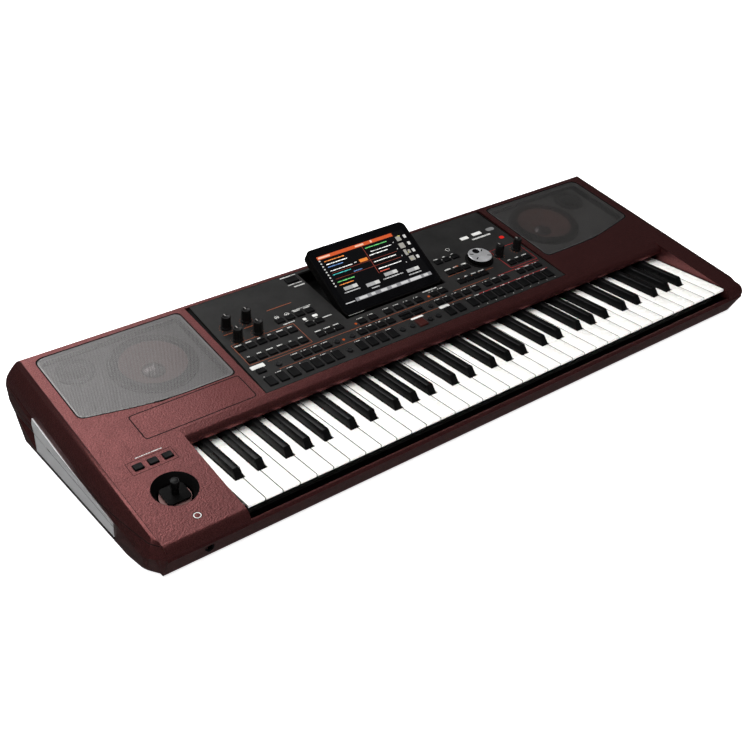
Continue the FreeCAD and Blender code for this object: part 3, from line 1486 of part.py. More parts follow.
def black_middle(number):
    """Centre line of a black key of the lowest octave."""
    _, line, shift = BLACK_KEYS[number]
    return S.key_first_x + S.key_pitch * line + shift


def key_saddle(body, name):
    """Slot, open below, with which a key sits on the rod."""
    saddle = new_sketch(body, "YZ_Plane", name + "_saddle")
    play = S.pivot_radius + S.pivot_fit
    rectangle(saddle, S.pivot_y - play, S.pivot_y + play, S.rib_z - S.lap, S.pivot_z + play)
    pocket(body, saddle)


def white_key(name, place_in_row, left_black, right_black):
    """A white key: notched top with a thin front lip, and a rib down to the pivot."""
    body = new_body(name + "_single")
    left = S.key_first_x + S.key_pitch * place_in_row + S.key_gap / 2
    right = left + S.key_pitch - S.key_gap
    slot = S.sharp_wide / 2 + S.notch_gap
    tail_left = left if left_black is None else black_middle(left_black) + slot
    tail_right = right if right_black is None else black_middle(right_black) - slot
    notch = S.sharp_front_y - S.notch_gap
    rear = S.pivot_y + S.tail
    points = [(left, S.key_front_y), (right, S.key_front_y)]
    if right_black is not None:
        points += [(right, notch), (tail_right, notch)]
    points += [(tail_right, rear), (tail_left, rear)]
    if left_black is not None:
        points += [(tail_left, notch), (left, notch)]
    top = new_sketch(body, "XY_Plane", name + "_top", S.key_top_z)
    outline(top, points)
    pad(body, top, S.key_slab, down=True)
    rib = new_sketch(body, "XY_Plane", name + "_rib", S.key_top_z - S.key_slab)
    middle = (tail_left + tail_right) / 2
    rectangle(rib, middle - S.rib_half, middle + S.rib_half, S.key_front_y + S.key_lip, rear)
    pad(body, rib, S.key_top_z - S.key_slab - S.rib_z, down=True)
    key_saddle(body, name)
    return body


def black_key(name, number):
    """A black key: tapered in section, sloped at its front, with a low tail to the pivot."""
    body = new_body(name + "_single")
    middle = black_middle(number)
    foot = S.sharp_wide / 2
    crest = S.sharp_top_wide / 2
    top_z = S.key_top_z + S.sharp_rise
    taper_z = S.key_top_z - S.sharp_skirt
    rear = S.pivot_y + S.tail
    section = new_sketch(body, "XZ_Plane", name + "_section", -rear)
    outline(section, [
        (middle - foot, S.rib_z),
        (middle + foot, S.rib_z),
        (middle + foot, taper_z),
        (middle + crest, top_z),
        (middle - crest, top_z),
        (middle - foot, taper_z),
    ])
    pad(body, section, rear - S.sharp_front_y)
    side = new_sketch(body, "YZ_Plane", name + "_side")
    outline(side, [
        (S.sharp_front_y, taper_z),
        (S.sharp_front_y + S.sharp_run, top_z),
        (S.sharp_front_y + S.sharp_run, top_z + S.lap),
        (S.sharp_front_y - S.lap, top_z + S.lap),
        (S.sharp_front_y - S.lap, taper_z),
    ])
    rectangle(side, S.sharp_rear_y, rear + S.lap, S.key_top_z, top_z + S.lap)
    rectangle(side, S.sharp_front_y - S.lap, S.sharp_step_y, S.rib_z - S.lap, S.key_top_z - S.key_slab)
    pocket(body, side)
    key_saddle(body, name)
    return body


def build_keys():
    """Sixty-one keys: the five mouldings of each note, and the top C, which has no notch."""
    steps = [(octave * number, 0) for number in range(1, OCTAVES)]
    for name, spot, left_black, right_black in WHITE_KEYS:
        key = white_key(name, spot, left_black, right_black)
        node(name, copies(name, key, steps))
    for number, (name, _, _) in enumerate(BLACK_KEYS):
        node(name, copies(name, black_key(name, number), steps))
    node("key_top_c", white_key("key_top_c", 7 * OCTAVES, None, None))


def build_key_bed():
    """Chassis with its rail, ledges and pivot brackets; rod, felt and contact board."""
    left = S.bay_left + S.chassis_side
    right = S.bay_right - S.chassis_side
    body = new_body("key_chassis")
    base = new_sketch(body, "XY_Plane", "chassis_base", floor_z)
    rectangle(base, left, right, S.chassis_front_y, S.chassis_rear_y)
    pad(body, base, S.chassis_sheet)
    deck_z = floor_z + S.chassis_sheet
    rail = new_sketch(body, "XY_Plane", "chassis_rail", deck_z)
    rectangle(rail, left, right, S.chassis_front_y, S.rail_rear_y)
    pad(body, rail, S.rail_z - deck_z)
    ledges = new_sketch(body, "XY_Plane", "chassis_ledges", deck_z)
    for start in (S.ledge_front_y, S.ledge_rear_y):
        rectangle(ledges, left, right, start, start + S.ledge_wide)
    pad(body, ledges, S.contact_z - deck_z)
    brackets = new_sketch(body, "XY_Plane", "pivot_brackets", deck_z)
    for number in range(OCTAVES + 1):
        line = S.key_first_x + octave * number
        block(brackets, line, S.pivot_y, S.bracket, S.bracket_half * 2)
    end = S.key_first_x + octave * OCTAVES + S.key_pitch
    block(brackets, end, S.pivot_y, S.bracket / 2, S.bracket_half * 2)
    pad(body, brackets, S.bracket_top_z - deck_z)
    saddles = new_sketch(body, "YZ_Plane", "rod_saddles")
    reach = S.pivot_radius
    rectangle(saddles, S.pivot_y - reach, S.pivot_y + reach, S.pivot_z - reach, S.bracket_top_z + S.lap)
    pocket(body, saddles)
    node("key_chassis", body)

    rod = new_body("key_pivot_rod")
    end_line = new_sketch(rod, "YZ_Plane", "rod_end", S.key_first_x - S.bracket / 2)
    circle(end_line, S.pivot_y, S.pivot_z, S.pivot_radius)
    pad(rod, end_line, octave * OCTAVES + S.key_pitch + S.bracket * 0.75)
    node("key_pivot_rod", rod)

    felt = new_body("key_felt")
    strip = new_sketch(felt, "XY_Plane", "felt_strip", S.rail_z)
    rectangle(strip, left, right, S.chassis_front_y, S.rail_rear_y)
    pad(felt, strip, S.felt)
    node("key_felt", felt)

    board = new_body("contact_board")
    sheet_line = new_sketch(board, "XY_Plane", "contact_sheet", S.contact_z)
    rectangle(sheet_line, left, right, S.ledge_front_y, S.ledge_rear_y + S.ledge_wide)
    pad(board, sheet_line, S.board_sheet)
    rubber = new_sketch(board, "XY_Plane", "contact_rubber_line", S.contact_z + S.board_sheet)
    stop = S.contact_rubber_y + S.contact_rubber_wide
    rectangle(rubber, left + S.key_pitch / 2, right - S.key_pitch / 2, S.contact_rubber_y, stop)
    pad(board, rubber, S.contact_rubber)
    node("contact_board", board)


# Chips of the main board: x, width and length.
CHIPS = ((-50, 28, 28), (0, 20, 14), (45, 24, 24))


def build_electronics():
    """Main board on its posts and the power supply on the case floor."""
    board = new_body("main_board")
    half = S.main_wide / 2
    rear = S.main_front_y + S.main_long
    sheet_line = new_sketch(board, "XY_Plane", "main_sheet", S.main_z)
    rectangle(sheet_line, -half, half, S.main_front_y, rear)
    pad(board, sheet_line, S.board_sheet)
    chips = new_sketch(board, "XY_Plane", "main_chips", S.main_z + S.board_sheet)
    middle = S.main_front_y + S.main_long / 2
    for x, wide, long in CHIPS:
        block(chips, dim(x), middle, wide, long)
    pad(board, chips, S.chip_high)
    node("main_board", board)

    supply = new_body("power_supply")
    floor = new_sketch(supply, "XY_Plane", "supply_floor", floor_z)
    rectangle(floor, S.supply_x, S.supply_x + S.supply_wide, S.supply_y, S.supply_y + S.supply_long)
    pad(supply, floor, S.supply_high)
    node("power_supply", supply)


def jack_spots():
    """Places of the two output jacks."""
    for number in range(2):
        yield S.jack_x + S.jack_pitch * number


def din_spots():
    """Places of the two DIN sockets."""
    for number in range(2):
        yield S.din_x + S.din_pitch * number


def square_sockets():
    """Square sockets of the connector plate: x, opening width, height and depth."""
    yield S.usb_x, S.usb_wide, S.usb_high, S.din_deep
    yield S.inlet_x, S.inlet_wide, S.inlet_high, S.inlet_deep


def build_connectors():
    """Connector plate behind the rear wall, its sockets, and the headphone jack in the front."""
    face_y = S.rear_y - S.wall
    plate = new_body("rear_plate")
    sheet_line = new_sketch(plate, "XZ_Plane", "rear_plate_line", -face_y)
    rectangle(sheet_line, S.plate_left, S.plate_right, S.plate_low_z, S.plate_high_z)
    for x in jack_spots():
        many_sided(sheet_line, x, S.socket_z, S.jack_bore + S.jack_rim, MORE_SIDES)
    for x in din_spots():
        many_sided(sheet_line, x, S.socket_z, S.din_bore + S.fit, MORE_SIDES)
    for x, wide, high, _ in square_sockets():
        block(sheet_line, x, S.socket_z, wide + S.fit * 2, high + S.fit * 2)
    pad(plate, sheet_line, S.wall)
    node("rear_plate", plate)

    sockets = new_body("sockets")
    back_y = face_y - S.wall
    bodies = new_sketch(sockets, "XZ_Plane", "socket_bodies", -back_y)
    jacks = new_sketch(sockets, "XZ_Plane", "jack_bores", -back_y)
    rounds = new_sketch(sockets, "XZ_Plane", "din_bores", -back_y)
    for x in jack_spots():
        block(bodies, x, S.socket_z, S.jack_radius * 2, S.jack_radius * 2)
        circle(jacks, x, S.socket_z, S.jack_bore)
    for x in din_spots():
        block(bodies, x, S.socket_z, S.din_radius * 2, S.din_radius * 2)
        many_sided(rounds, x, S.socket_z, S.din_bore, MORE_SIDES)
    for x, wide, high, _ in square_sockets():
        block(bodies, x, S.socket_z, wide + S.shroud * 2, high + S.shroud * 2)
    pad(sockets, bodies, S.jack_body - S.wall)
    pocket(sockets, jacks, S.jack_deep, up=True)
    pocket(sockets, rounds, S.din_deep, up=True)
    for number, (x, wide, high, deep) in enumerate(square_sockets()):
        hole = new_sketch(sockets, "XZ_Plane", "socket_slot_%d" % number, -back_y)
        block(hole, x, S.socket_z, wide, high)
        pocket(sockets, hole, deep, up=True)

    phones = new_body("headphone_jack")
    mouth_y = S.nose_y + S.phones_set
    back = S.toe_y - S.wall + S.lip_set
    barrel_line = new_sketch(phones, "XZ_Plane", "phones_barrel", -back)
    many_sided(barrel_line, S.phones_x, S.phones_z, S.jack_radius, MORE_SIDES)
    pad(phones, barrel_line, back - mouth_y)
    can = new_sketch(phones, "XZ_Plane", "phones_can", -back)
    block(can, S.phones_x, S.phones_z, S.jack_radius * 2 + S.shroud, S.jack_radius * 2 + S.shroud)
    pad(phones, can, S.jack_body - S.wall, down=True)
    bore = new_sketch(phones, "XZ_Plane", "phones_bore", -mouth_y)
    circle(bore, S.phones_x, S.phones_z, S.jack_bore)
    pocket(phones, bore, S.jack_deep)
    node("sockets", group("sockets_all", [sockets, phones]))


build_lower_case()
build_feet()
build_upper_case()
build_cheeks()
build_grilles()
build_speakers()
build_badge()
build_panel()
build_panel_board()
build_potentiometers()
build_knobs()
build_buttons()
build_display()
build_joystick()
build_keys()
build_key_bed()
build_electronics()
build_connectors()
doc.recompute()

faults = []
for item in doc.Objects:
    if "Invalid" in item.State or "Error" in item.State:
        faults.append("%s: %s" % (item.Name, item.State))
for name, piece in NODES.items():
    if piece.Shape.isNull() or not piece.Shape.isValid() or not piece.Shape.Solids:
        faults.append("%s: bad shape" % name)
if faults:
    raise RuntimeError("; ".join(faults))

os.makedirs("parts", exist_ok=True)
for name, piece in NODES.items():
    piece.Shape.exportStep(os.path.join("parts", name + ".step"))
print("%d nodes" % len(NODES))
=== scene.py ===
"""Looks of the arranger keyboard: materials, fine pieces, prints, screen picture, light and camera.

Lengths are millimetres unless a name or a comment says otherwise. The helpers deck(), screen(), plain() and
rear() turn points of the sloping deck, the tilting display, the row frame and the connector plate into metres.
"""
import bmesh
import bpy
import json
from math import atan2, cos, hypot, pi, radians, sin, sqrt
from mathutils import Matrix, Vector
from mathutils.geometry import delaunay_2d_cdt

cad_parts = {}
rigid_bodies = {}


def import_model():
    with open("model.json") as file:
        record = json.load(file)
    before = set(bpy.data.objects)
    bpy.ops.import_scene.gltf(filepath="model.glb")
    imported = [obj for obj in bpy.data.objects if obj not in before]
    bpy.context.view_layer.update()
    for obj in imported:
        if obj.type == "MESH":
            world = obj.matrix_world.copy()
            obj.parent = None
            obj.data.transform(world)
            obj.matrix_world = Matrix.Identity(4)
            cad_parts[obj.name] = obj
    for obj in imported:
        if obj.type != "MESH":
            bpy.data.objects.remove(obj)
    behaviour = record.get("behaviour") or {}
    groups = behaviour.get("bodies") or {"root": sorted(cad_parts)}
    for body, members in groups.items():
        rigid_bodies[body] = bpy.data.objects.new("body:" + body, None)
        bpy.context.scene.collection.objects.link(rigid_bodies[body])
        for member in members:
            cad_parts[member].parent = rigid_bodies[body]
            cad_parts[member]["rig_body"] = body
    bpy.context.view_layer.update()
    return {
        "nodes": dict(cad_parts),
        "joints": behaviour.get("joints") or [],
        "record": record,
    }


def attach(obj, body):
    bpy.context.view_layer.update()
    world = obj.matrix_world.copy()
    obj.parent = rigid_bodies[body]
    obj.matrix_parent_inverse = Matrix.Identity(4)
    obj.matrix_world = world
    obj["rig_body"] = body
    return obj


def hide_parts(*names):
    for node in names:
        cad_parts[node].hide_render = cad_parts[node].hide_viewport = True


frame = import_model()
NODES = frame["nodes"]
JOINTS = {joint["name"]: joint for joint in frame["joints"]}
SLOT_OF = {part["node"]: part["material_slot"] for part in frame["record"]["subparts"]}

MM = 0.001
ACROSS = Vector((1, 0, 0))
# The dial's axis points out of the deck; the deck starts at the line of the key fronts.
OUT = Vector(JOINTS["value_dial_turn"]["axis"]).normalized()
ALONG = Vector((0, OUT.z, -OUT.y))
DECK_START = Vector((0, -178, 59.3))
# The display is drawn from its hinge, leaning back by its tilt from the deck.
HINGE = Vector(JOINTS["display_tilt"]["pos_m"]) / MM
DISPLAY_TILT = radians(22.8)
UP = ALONG * cos(DISPLAY_TILT) + OUT * sin(DISPLAY_TILT)
FACE = OUT * cos(DISPLAY_TILT) - ALONG * sin(DISPLAY_TILT)
# Height of the glass over the hinge, place of the connector plate, thickness of a print.
GLASS_FACE = 9.9
REAR_FACE = 185.5
PRINT_HIGH = 0.06


def deck(x, v, n=0.0):
    """Point of the deck: x across, v up the slope from the key fronts, n out of it."""
    return (DECK_START + ACROSS * x + ALONG * v + OUT * n) * MM


def screen(x, y, n=0.0):
    """Point of the display: x from its middle, y up from its hinge, n out of its glass."""
    return (HINGE + ACROSS * x + UP * y + FACE * (GLASS_FACE + n)) * MM


def plain(x, y, z):
    """Point of the row frame."""
    return Vector((x, y, z)) * MM


def rear(x, z, n):
    """Point of the connector plate: x across, z up, n out of it to the rear."""
    return Vector((x, REAR_FACE + n, z)) * MM


def plan_v(y):
    """Place along the slope of a point whose plan y is known."""
    return (y - DECK_START.y) / ALONG.y


def deck_coordinates(point):
    """x, v and n of a point in metres."""
    local = point / MM - DECK_START
    return local.x, local.dot(ALONG), local.dot(OUT)


class Recipe:
    """The node tree of one material, built step by step on object coordinates."""

    def __init__(self, name):
        self.material = bpy.data.materials.new(name)
        self.material.use_nodes = True
        self.tree = self.material.node_tree
        self.shader = self.tree.nodes["Principled BSDF"]
        self.where = self.add("ShaderNodeTexCoord").outputs["Object"]

    def add(self, kind, inputs=None, **settings):
        """A node with values on its sockets and settings of its own."""
        node = self.tree.nodes.new(kind)
        for key, value in settings.items():
            setattr(node, key, value)
        for key, value in (inputs or {}).items():
            node.inputs[key].default_value = value
        return node

    def link(self, source, target):
        self.tree.links.new(source, target)

    def set(self, **sockets):
        for key, value in sockets.items():
            self.shader.inputs[key.replace("_", " ")].default_value = value

    def texture(self, kind, inputs, stretch=None, **settings):
        """Outputs of a texture, stretched along the axes where asked."""
        node = self.add("ShaderNodeTex" + kind, inputs, **settings)
        where = self.where
        if stretch is not None:
            mapping = self.add("ShaderNodeMapping", {"Scale": stretch})
            self.link(where, mapping.inputs["Vector"])
            where = mapping.outputs["Vector"]
        self.link(where, node.inputs["Vector"])
        return node.outputs

    def noise(self, scale, detail=3.0, roughness=0.5, stretch=None):
        """Noise of so many lumps a metre."""
        return self.texture("Noise", {"Scale": scale, "Detail": detail, "Roughness": roughness}, stretch)["Fac"]

    def ramp(self, value, *colours, start=0.3, stop=0.7):
        """Colours along a value, evenly spread."""
        node = self.add("ShaderNodeValToRGB")
        elements = node.color_ramp.elements
        while len(elements) < len(colours):
            elements.new(0.5)
        for i, (element, colour) in enumerate(zip(elements, colours)):
            element.position = start + (stop - start) * i / (len(colours) - 1)
            element.color = (*colour, 1.0)
        self.link(value, node.inputs["Fac"])
        return node.outputs["Color"]

    def span(self, value, low, high, start=0.3, stop=0.7):
        """A value brought into a range."""
        node = self.add("ShaderNodeMapRange", {"From Min": start, "From Max": stop, "To Min": low, "To Max": high})
        self.link(value, node.inputs["Value"])
        return node.outputs["Result"]

    def colour(self, source):
        self.link(source, self.shader.inputs["Base Color"])

    def light(self, source):
        self.link(source, self.shader.inputs["Emission Color"])

    def rough(self, source):
        self.link(source, self.shader.inputs["Roughness"])

    def bump(self, height, depth, strength=1.0):
        """Relief of the surface, its depth in metres."""
        node = self.add("ShaderNodeBump", {"Strength": strength, "Distance": depth})
        self.link(height, node.inputs["Height"])
        self.link(node.outputs["Normal"], self.shader.inputs["Normal"])


def maker(paint):
    """Turns a painter of recipes into a maker of materials."""
    def painted(name, *values, **settings):
        recipe = Recipe(name)
        paint(recipe, *values, **settings)
        return recipe.material
    return painted


def shade(colour, factor):
    return tuple(channel * factor for channel in colour)


@maker
def moulded(recipe, colour, rough, grain=900.0, relief=0.00002, vary=0.18, gloss=0.3):
    """Moulded plastic: cloudy colour, uneven gloss and a fine grain."""
    cloud = recipe.noise(35.0, 4.0)
    recipe.colour(recipe.ramp(cloud, shade(colour, 1 - vary), shade(colour, 1 + vary)))
    recipe.rough(recipe.span(recipe.noise(120.0, 5.0), rough - 0.05, rough + 0.05))
    recipe.bump(recipe.noise(grain, 2.0), relief, 0.5)
    recipe.set(Specular_IOR_Level=gloss)


@maker
def metallic_paint(recipe, colour, rough=0.32):
    """Flake paint: small flakes of two tones in a deep colour, under a thin clear coat."""
    flakes = recipe.noise(800.0, 3.0, 0.7)
    recipe.colour(recipe.ramp(flakes, shade(colour, 0.6), colour, shade(colour, 1.5)))
    recipe.rough(recipe.span(recipe.noise(60.0, 4.0), rough - 0.04, rough + 0.04))
    recipe.bump(recipe.noise(450.0, 2.0, 0.6), 0.0006, 0.8)
    recipe.set(Metallic=0.9, Coat_Weight=0.05, Coat_Roughness=0.12)


@maker
def satin_metal(recipe, colour, rough, stretch=None, metallic=0.9):
    """Satin metal or metal paint with faint streaks."""
    streaks = recipe.noise(300.0, 4.0, 0.6, stretch)
    recipe.colour(recipe.ramp(streaks, shade(colour, 0.88), shade(colour, 1.08)))
    recipe.rough(recipe.span(streaks, rough - 0.06, rough + 0.06))
    recipe.bump(recipe.noise(1200.0, 2.0), 0.00001, 0.4)
    recipe.set(Metallic=metallic)


@maker
def ivory(recipe):
    """Gloss key plastic, faintly warm, with the finest orange peel."""
    cloud = recipe.noise(25.0, 3.0)
    recipe.colour(recipe.ramp(cloud, (0.80, 0.79, 0.755), (0.86, 0.85, 0.82)))
    recipe.rough(recipe.span(recipe.noise(90.0, 4.0), 0.22, 0.32))
    recipe.bump(recipe.noise(700.0, 2.0), 0.00001, 0.3)
    recipe.set(Subsurface_Weight=0.05, Subsurface_Scale=0.002)


@maker
def paper(recipe, colour):
    """Pressed pulp of a speaker cone: fibres and a matt surface."""
    fibres = recipe.noise(500.0, 6.0, 0.7, (1.0, 3.0, 1.0))
    recipe.colour(recipe.ramp(fibres, shade(colour, 0.7), shade(colour, 1.3)))
    recipe.rough(recipe.span(fibres, 0.6, 0.8))
    recipe.bump(fibres, 0.0001, 0.6)


@maker
def felt(recipe, colour):
    """Felt, matted fibres."""
    fibres = recipe.noise(900.0, 8.0, 0.8)
    recipe.colour(recipe.ramp(fibres, shade(colour, 0.6), shade(colour, 1.3)))
    recipe.bump(fibres, 0.0003, 0.8)
    recipe.set(Roughness=0.95, Sheen_Weight=0.4)


@maker
def circuit(recipe):
    """Solder-masked board with traces in two tones of green."""
    recipe.colour(recipe.texture("Brick", {
        "Scale": 160.0, "Color1": (0.02, 0.10, 0.04, 1.0), "Color2": (0.03, 0.14, 0.06, 1.0),
        "Mortar": (0.05, 0.20, 0.09, 1.0)})["Color"])
    recipe.rough(recipe.span(recipe.noise(200.0), 0.35, 0.5))


@maker
def screen_glass(recipe):
    """Black touch glass with a thin film of finger marks."""
    smears = recipe.noise(45.0, 6.0, 0.65)
    recipe.colour(recipe.ramp(smears, (0.0016, 0.0016, 0.0019), (0.0028, 0.0028, 0.0033)))
    recipe.rough(recipe.span(smears, 0.10, 0.15))
    recipe.set(Specular_IOR_Level=0.12)


@maker
def ink(recipe, colour, glow=0.0):
    """Screen print: broken into fine strokes, a little uneven."""
    strokes = recipe.noise(1400.0, 1.0, 0.4, (1.0, 0.25, 0.25))
    recipe.colour(recipe.ramp(strokes, shade(colour, 0.25), colour, start=0.42, stop=0.54))
    recipe.rough(recipe.span(recipe.noise(300.0), 0.45, 0.6))
    if glow:
        recipe.light(recipe.ramp(strokes, shade(colour, 0.2), colour, start=0.40, stop=0.52))
        recipe.set(Emission_Strength=glow)


@maker
def lamp(recipe, colour, glow):
    """Lit lamp or lit area of the screen, with a faint pixel grid."""
    grid = recipe.texture("Voronoi", {"Scale": 2500.0})["Color"]
    recipe.colour(recipe.ramp(grid, shade(colour, 0.2), shade(colour, 0.3), start=0.1, stop=0.9))
    recipe.light(recipe.ramp(grid, shade(colour, 0.8), colour, start=0.1, stop=0.9))
    recipe.set(Emission_Strength=glow, Roughness=0.2)


BURGUNDY = (0.135, 0.043, 0.042)
MATERIALS = {
    "case_dark": metallic_paint("paint_case", BURGUNDY),
    "case_top": metallic_paint("paint_deck", BURGUNDY),
    "badge_metal": metallic_paint("paint_badge", shade(BURGUNDY, 1.05), 0.33),
    "insert_silver": satin_metal("silver_insert", (0.40, 0.40, 0.405), 0.42, None, 0.4),
    "panel_dark": moulded("panel_grey", (0.0135, 0.0132, 0.0130), 0.45, 1500.0, gloss=0.16),
    "black_plastic": moulded("black_plastic", (0.0022, 0.0021, 0.0021), 0.5, gloss=0.06),
    "grille_metal": satin_metal("grille_paint", (0.27, 0.262, 0.26), 0.42, None, 0.94),
    "cone_paper": paper("cone_pulp", (0.13, 0.062, 0.055)),
    "magnet_steel": satin_metal("magnet_steel", (0.05, 0.05, 0.052), 0.45),
    "board_green": circuit("circuit_board"),
    "steel": satin_metal("bright_steel", (0.55, 0.55, 0.56), 0.25, (1.0, 12.0, 12.0), 1.0),
    # Felt below the key fronts, coloured black: partly its own colour, partly painted shade of the gap under the
    # keys.
    "felt": felt("black_felt", (0.008, 0.007, 0.007)),
    "rubber": moulded("rubber", (0.006, 0.006, 0.006), 0.75, 600.0, 0.00006, gloss=0.1),
    "key_white": ivory("key_white"),
    "key_black": moulded("key_black", (0.0025, 0.0025, 0.0026), 0.32, 1100.0, 0.00002, 0.2, 0.17),
    "button_grey": moulded("button_dark", (0.003, 0.003, 0.0032), 0.38, 1300.0, gloss=0.1),
    "button_light": moulded("button_round", (0.006, 0.006, 0.0063), 0.32, 1300.0, gloss=0.25),
    "button_red": moulded("button_red", (0.032, 0.008, 0.007), 0.36, 1300.0, gloss=0.15),
    "knob_black": moulded("knob_black", (0.004, 0.0038, 0.0038), 0.4, 1000.0, gloss=0.25),
    "dial_silver": satin_metal("dial_satin", (0.20, 0.20, 0.205), 0.3, None, 0.9),
    "screen_glass": screen_glass("touch_glass"),
}
WHITE_INK = ink("ink_white", (0.62, 0.62, 0.60))
SOLID_WHITE = moulded("print_white", (0.60, 0.60, 0.58), 0.5)
ORANGE_INK = moulded("print_orange", (0.30, 0.075, 0.025), 0.5)
RED_INK = moulded("print_red", (0.40, 0.02, 0.02), 0.5)
GREY_INK = moulded("print_grey", (0.16, 0.16, 0.16), 0.5)
RUBBER = MATERIALS["rubber"]
BLACK = MATERIALS["black_plastic"]
BOOT_BROWN = moulded("boot_brown", (0.14, 0.075, 0.07), 0.5, 700.0, 0.00004)
POINTER_WHITE = moulded("pointer_white", (0.22, 0.21, 0.20), 0.45)
RED_LAMP = lamp("lamp_red", (0.7, 0.02, 0.015), 0.7)
ORANGE_LAMP = lamp("lamp_orange", (0.55, 0.10, 0.02), 0.5)


def dress_nodes():
    """Every CAD node gets the material of its slot."""
    for name, item in NODES.items():
        item.data.materials.clear()
        item.data.materials.append(MATERIALS[SLOT_OF[name]])


# Shapes

def linked(name, data):
    """A new object of the scene."""
    item = bpy.data.objects.new(name, data)
    bpy.context.scene.collection.objects.link(item)
    return item


class Shape:
    """Points and faces of one mesh. What draws a whole form returns the shape."""

    def __init__(self, to_row=deck):
        self.to_row = to_row
        self.points = []
        self.faces = []

    def draped(self, flat, height):
        """A ring of points at the heights that a function gives."""
        first = len(self.points)
        self.points += [self.to_row(x, y, height(x, y)) for x, y in flat]
        return list(range(first, len(self.points)))

    def ring(self, flat, n):
        """A ring of points, all at one height."""
        return self.draped(flat, lambda x, y: n)

    def skirt(self, low, high):
        """Faces between two rings."""
        count = len(low)
        for i in range(count):
            j = (i + 1) % count
            self.faces.append((low[i], low[j], high[j], high[i]))

    def loft(self, rings):
        """A closed skin over rings of points from low to high."""
        for low, high in zip(rings, rings[1:]):
            self.skirt(low, high)
        self.faces.append(tuple(reversed(rings[0])))
        self.faces.append(tuple(rings[-1]))

    def pile(self, section):
        """A closed skin over pairs of outline and height, from low to high."""
        self.loft([self.ring(flat, n) for flat, n in section])
        return self

    def slab(self, flat, low, high):
        """A flat outline with a thickness."""
        return self.pile([(flat, low), (flat, high)])

    def lathe(self, x, y, profile, sides=48):
        """A turned body: pairs of radius and height, from low to high."""
        return self.pile([(round_line(x, y, radius, sides), n) for radius, n in profile])

    def tube(self, section):
        """A closed band: pairs of outline and height round its section."""
        rings = [self.ring(flat, n) for flat, n in section]
        for low, high in zip(rings, rings[1:] + rings[:1]):
            self.skirt(low, high)
        return self

    def hoop(self, x, y, profile, sides=64):
        """A turned ring with a hole: pairs of radius and height round its section."""
        return self.tube([(round_line(x, y, radius, sides), n) for radius, n in profile])

    def mesh(self, name):
        mesh = bpy.data.meshes.new(name)
        mesh.from_pydata(self.points, [], self.faces)
        return mesh

    def make(self, name, material, body="case", smooth=None, place=None):
        """The mesh as a piece that rides on a body."""
        return finished(name, self.mesh(name), material, body, smooth, place)

    def put(self, name, slot, body="case", smooth=None, material=None):
        """The same in the material of a slot, or in another material."""
        piece = self.make(name, material or MATERIALS[slot], body, smooth)
        return piece


def finished(name, mesh, material, body="case", smooth=None, place=None):
    """A mesh as an object that rides on a body, smooth up to an angle in degrees."""
    piece = linked(name, mesh)
    mesh.materials.append(material)
    outward(mesh)
    if smooth is not None:
        mesh.polygons.foreach_set("use_smooth", [True] * len(mesh.polygons))
        mesh.set_sharp_from_angle(angle=radians(smooth))
    if place is not None:
        piece.matrix_world = place
    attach(piece, body)
    return piece


def outward(mesh):
    """Turn all faces outward."""
    skin = bmesh.new()
    skin.from_mesh(mesh)
    bmesh.ops.recalc_face_normals(skin, faces=skin.faces)
    skin.to_mesh(mesh)
    skin.free()


def stand_in(node, ending, mesh, smooth=None):
    """A mesh in place of a CAD node, in the material of the node's slot, riding on the node's body."""
    piece = finished(node + ending, mesh, MATERIALS[SLOT_OF[node]], NODES[node]["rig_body"], smooth)
    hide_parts(node)
    return piece


def round_line(x, y, radius, sides):
    turn = 2 * pi / sides
    return [(x + radius * cos(i * turn), y + radius * sin(i * turn)) for i in range(sides)]


def soft_box(x, y, wide, high, radius, steps=4):
    """Outline of a rectangle with round corners."""
    radius = max(0.05, min(radius, wide / 2 - 0.01, high / 2 - 0.01))
    line = []
    for quarter, (side_x, side_y) in enumerate(((1, 1), (-1, 1), (-1, -1), (1, -1))):
        for step in range(steps + 1):
            angle = pi / 2 * (quarter + step / steps)
            line.append((x + side_x * (wide / 2 - radius) + radius * cos(angle),
                         y + side_y * (high / 2 - radius) + radius * sin(angle)))
    return line


def bars(name, material, boxes, to_row=deck, body="case", low=0.0, high=PRINT_HIGH, radius=0.3):
    """Flat prints or lit fields: x, y, width and length of each."""
    shape = Shape(to_row)
    for x, y, wide, long in boxes:
        shape.slab(soft_box(x, y, wide, long, radius, 2), low, high)
    shape.make(name, material, body)


def dots(name, material, spots, radius, sides, high):
    """Flat round marks on the deck: x and v of each."""
    shape = Shape()
    for x, v in spots:
        shape.slab(round_line(x, v, radius, sides), 0.0, high)
    shape.make(name, material)


# Editing of CAD meshes: how close points are one, or lie on a plane, in metres.
WELD = 1e-6
ON_PLANE = 1e-7
# Degrees: faces that meet under the first are one, edges over the second are rounded.
FLAT_ANGLE = 0.5
SHARP_ANGLE = 25


def welded(mesh):
    """A mesh to edit, its doubled points joined."""
    skin = bmesh.new()
    skin.from_mesh(mesh)
    bmesh.ops.remove_doubles(skin, verts=skin.verts, dist=WELD)
    return skin


def meshed(skin, name):
    """The edited skin as a new mesh."""
    mesh = bpy.data.meshes.new(name)
    skin.to_mesh(mesh)
    skin.free()
    return mesh


def slice_off(skin, spot, away):
    """Cut off what lies beyond a plane, and close the cut."""
    whole = skin.verts[:] + skin.edges[:] + skin.faces[:]
    cut = bmesh.ops.bisect_plane(skin, geom=whole, dist=ON_PLANE, plane_co=spot, plane_no=away, clear_outer=True)
    rim = [item for item in cut["geom_cut"] if isinstance(item, bmesh.types.BMEdge)]
    if rim:
        bmesh.ops.holes_fill(skin, edges=rim, sides=0)


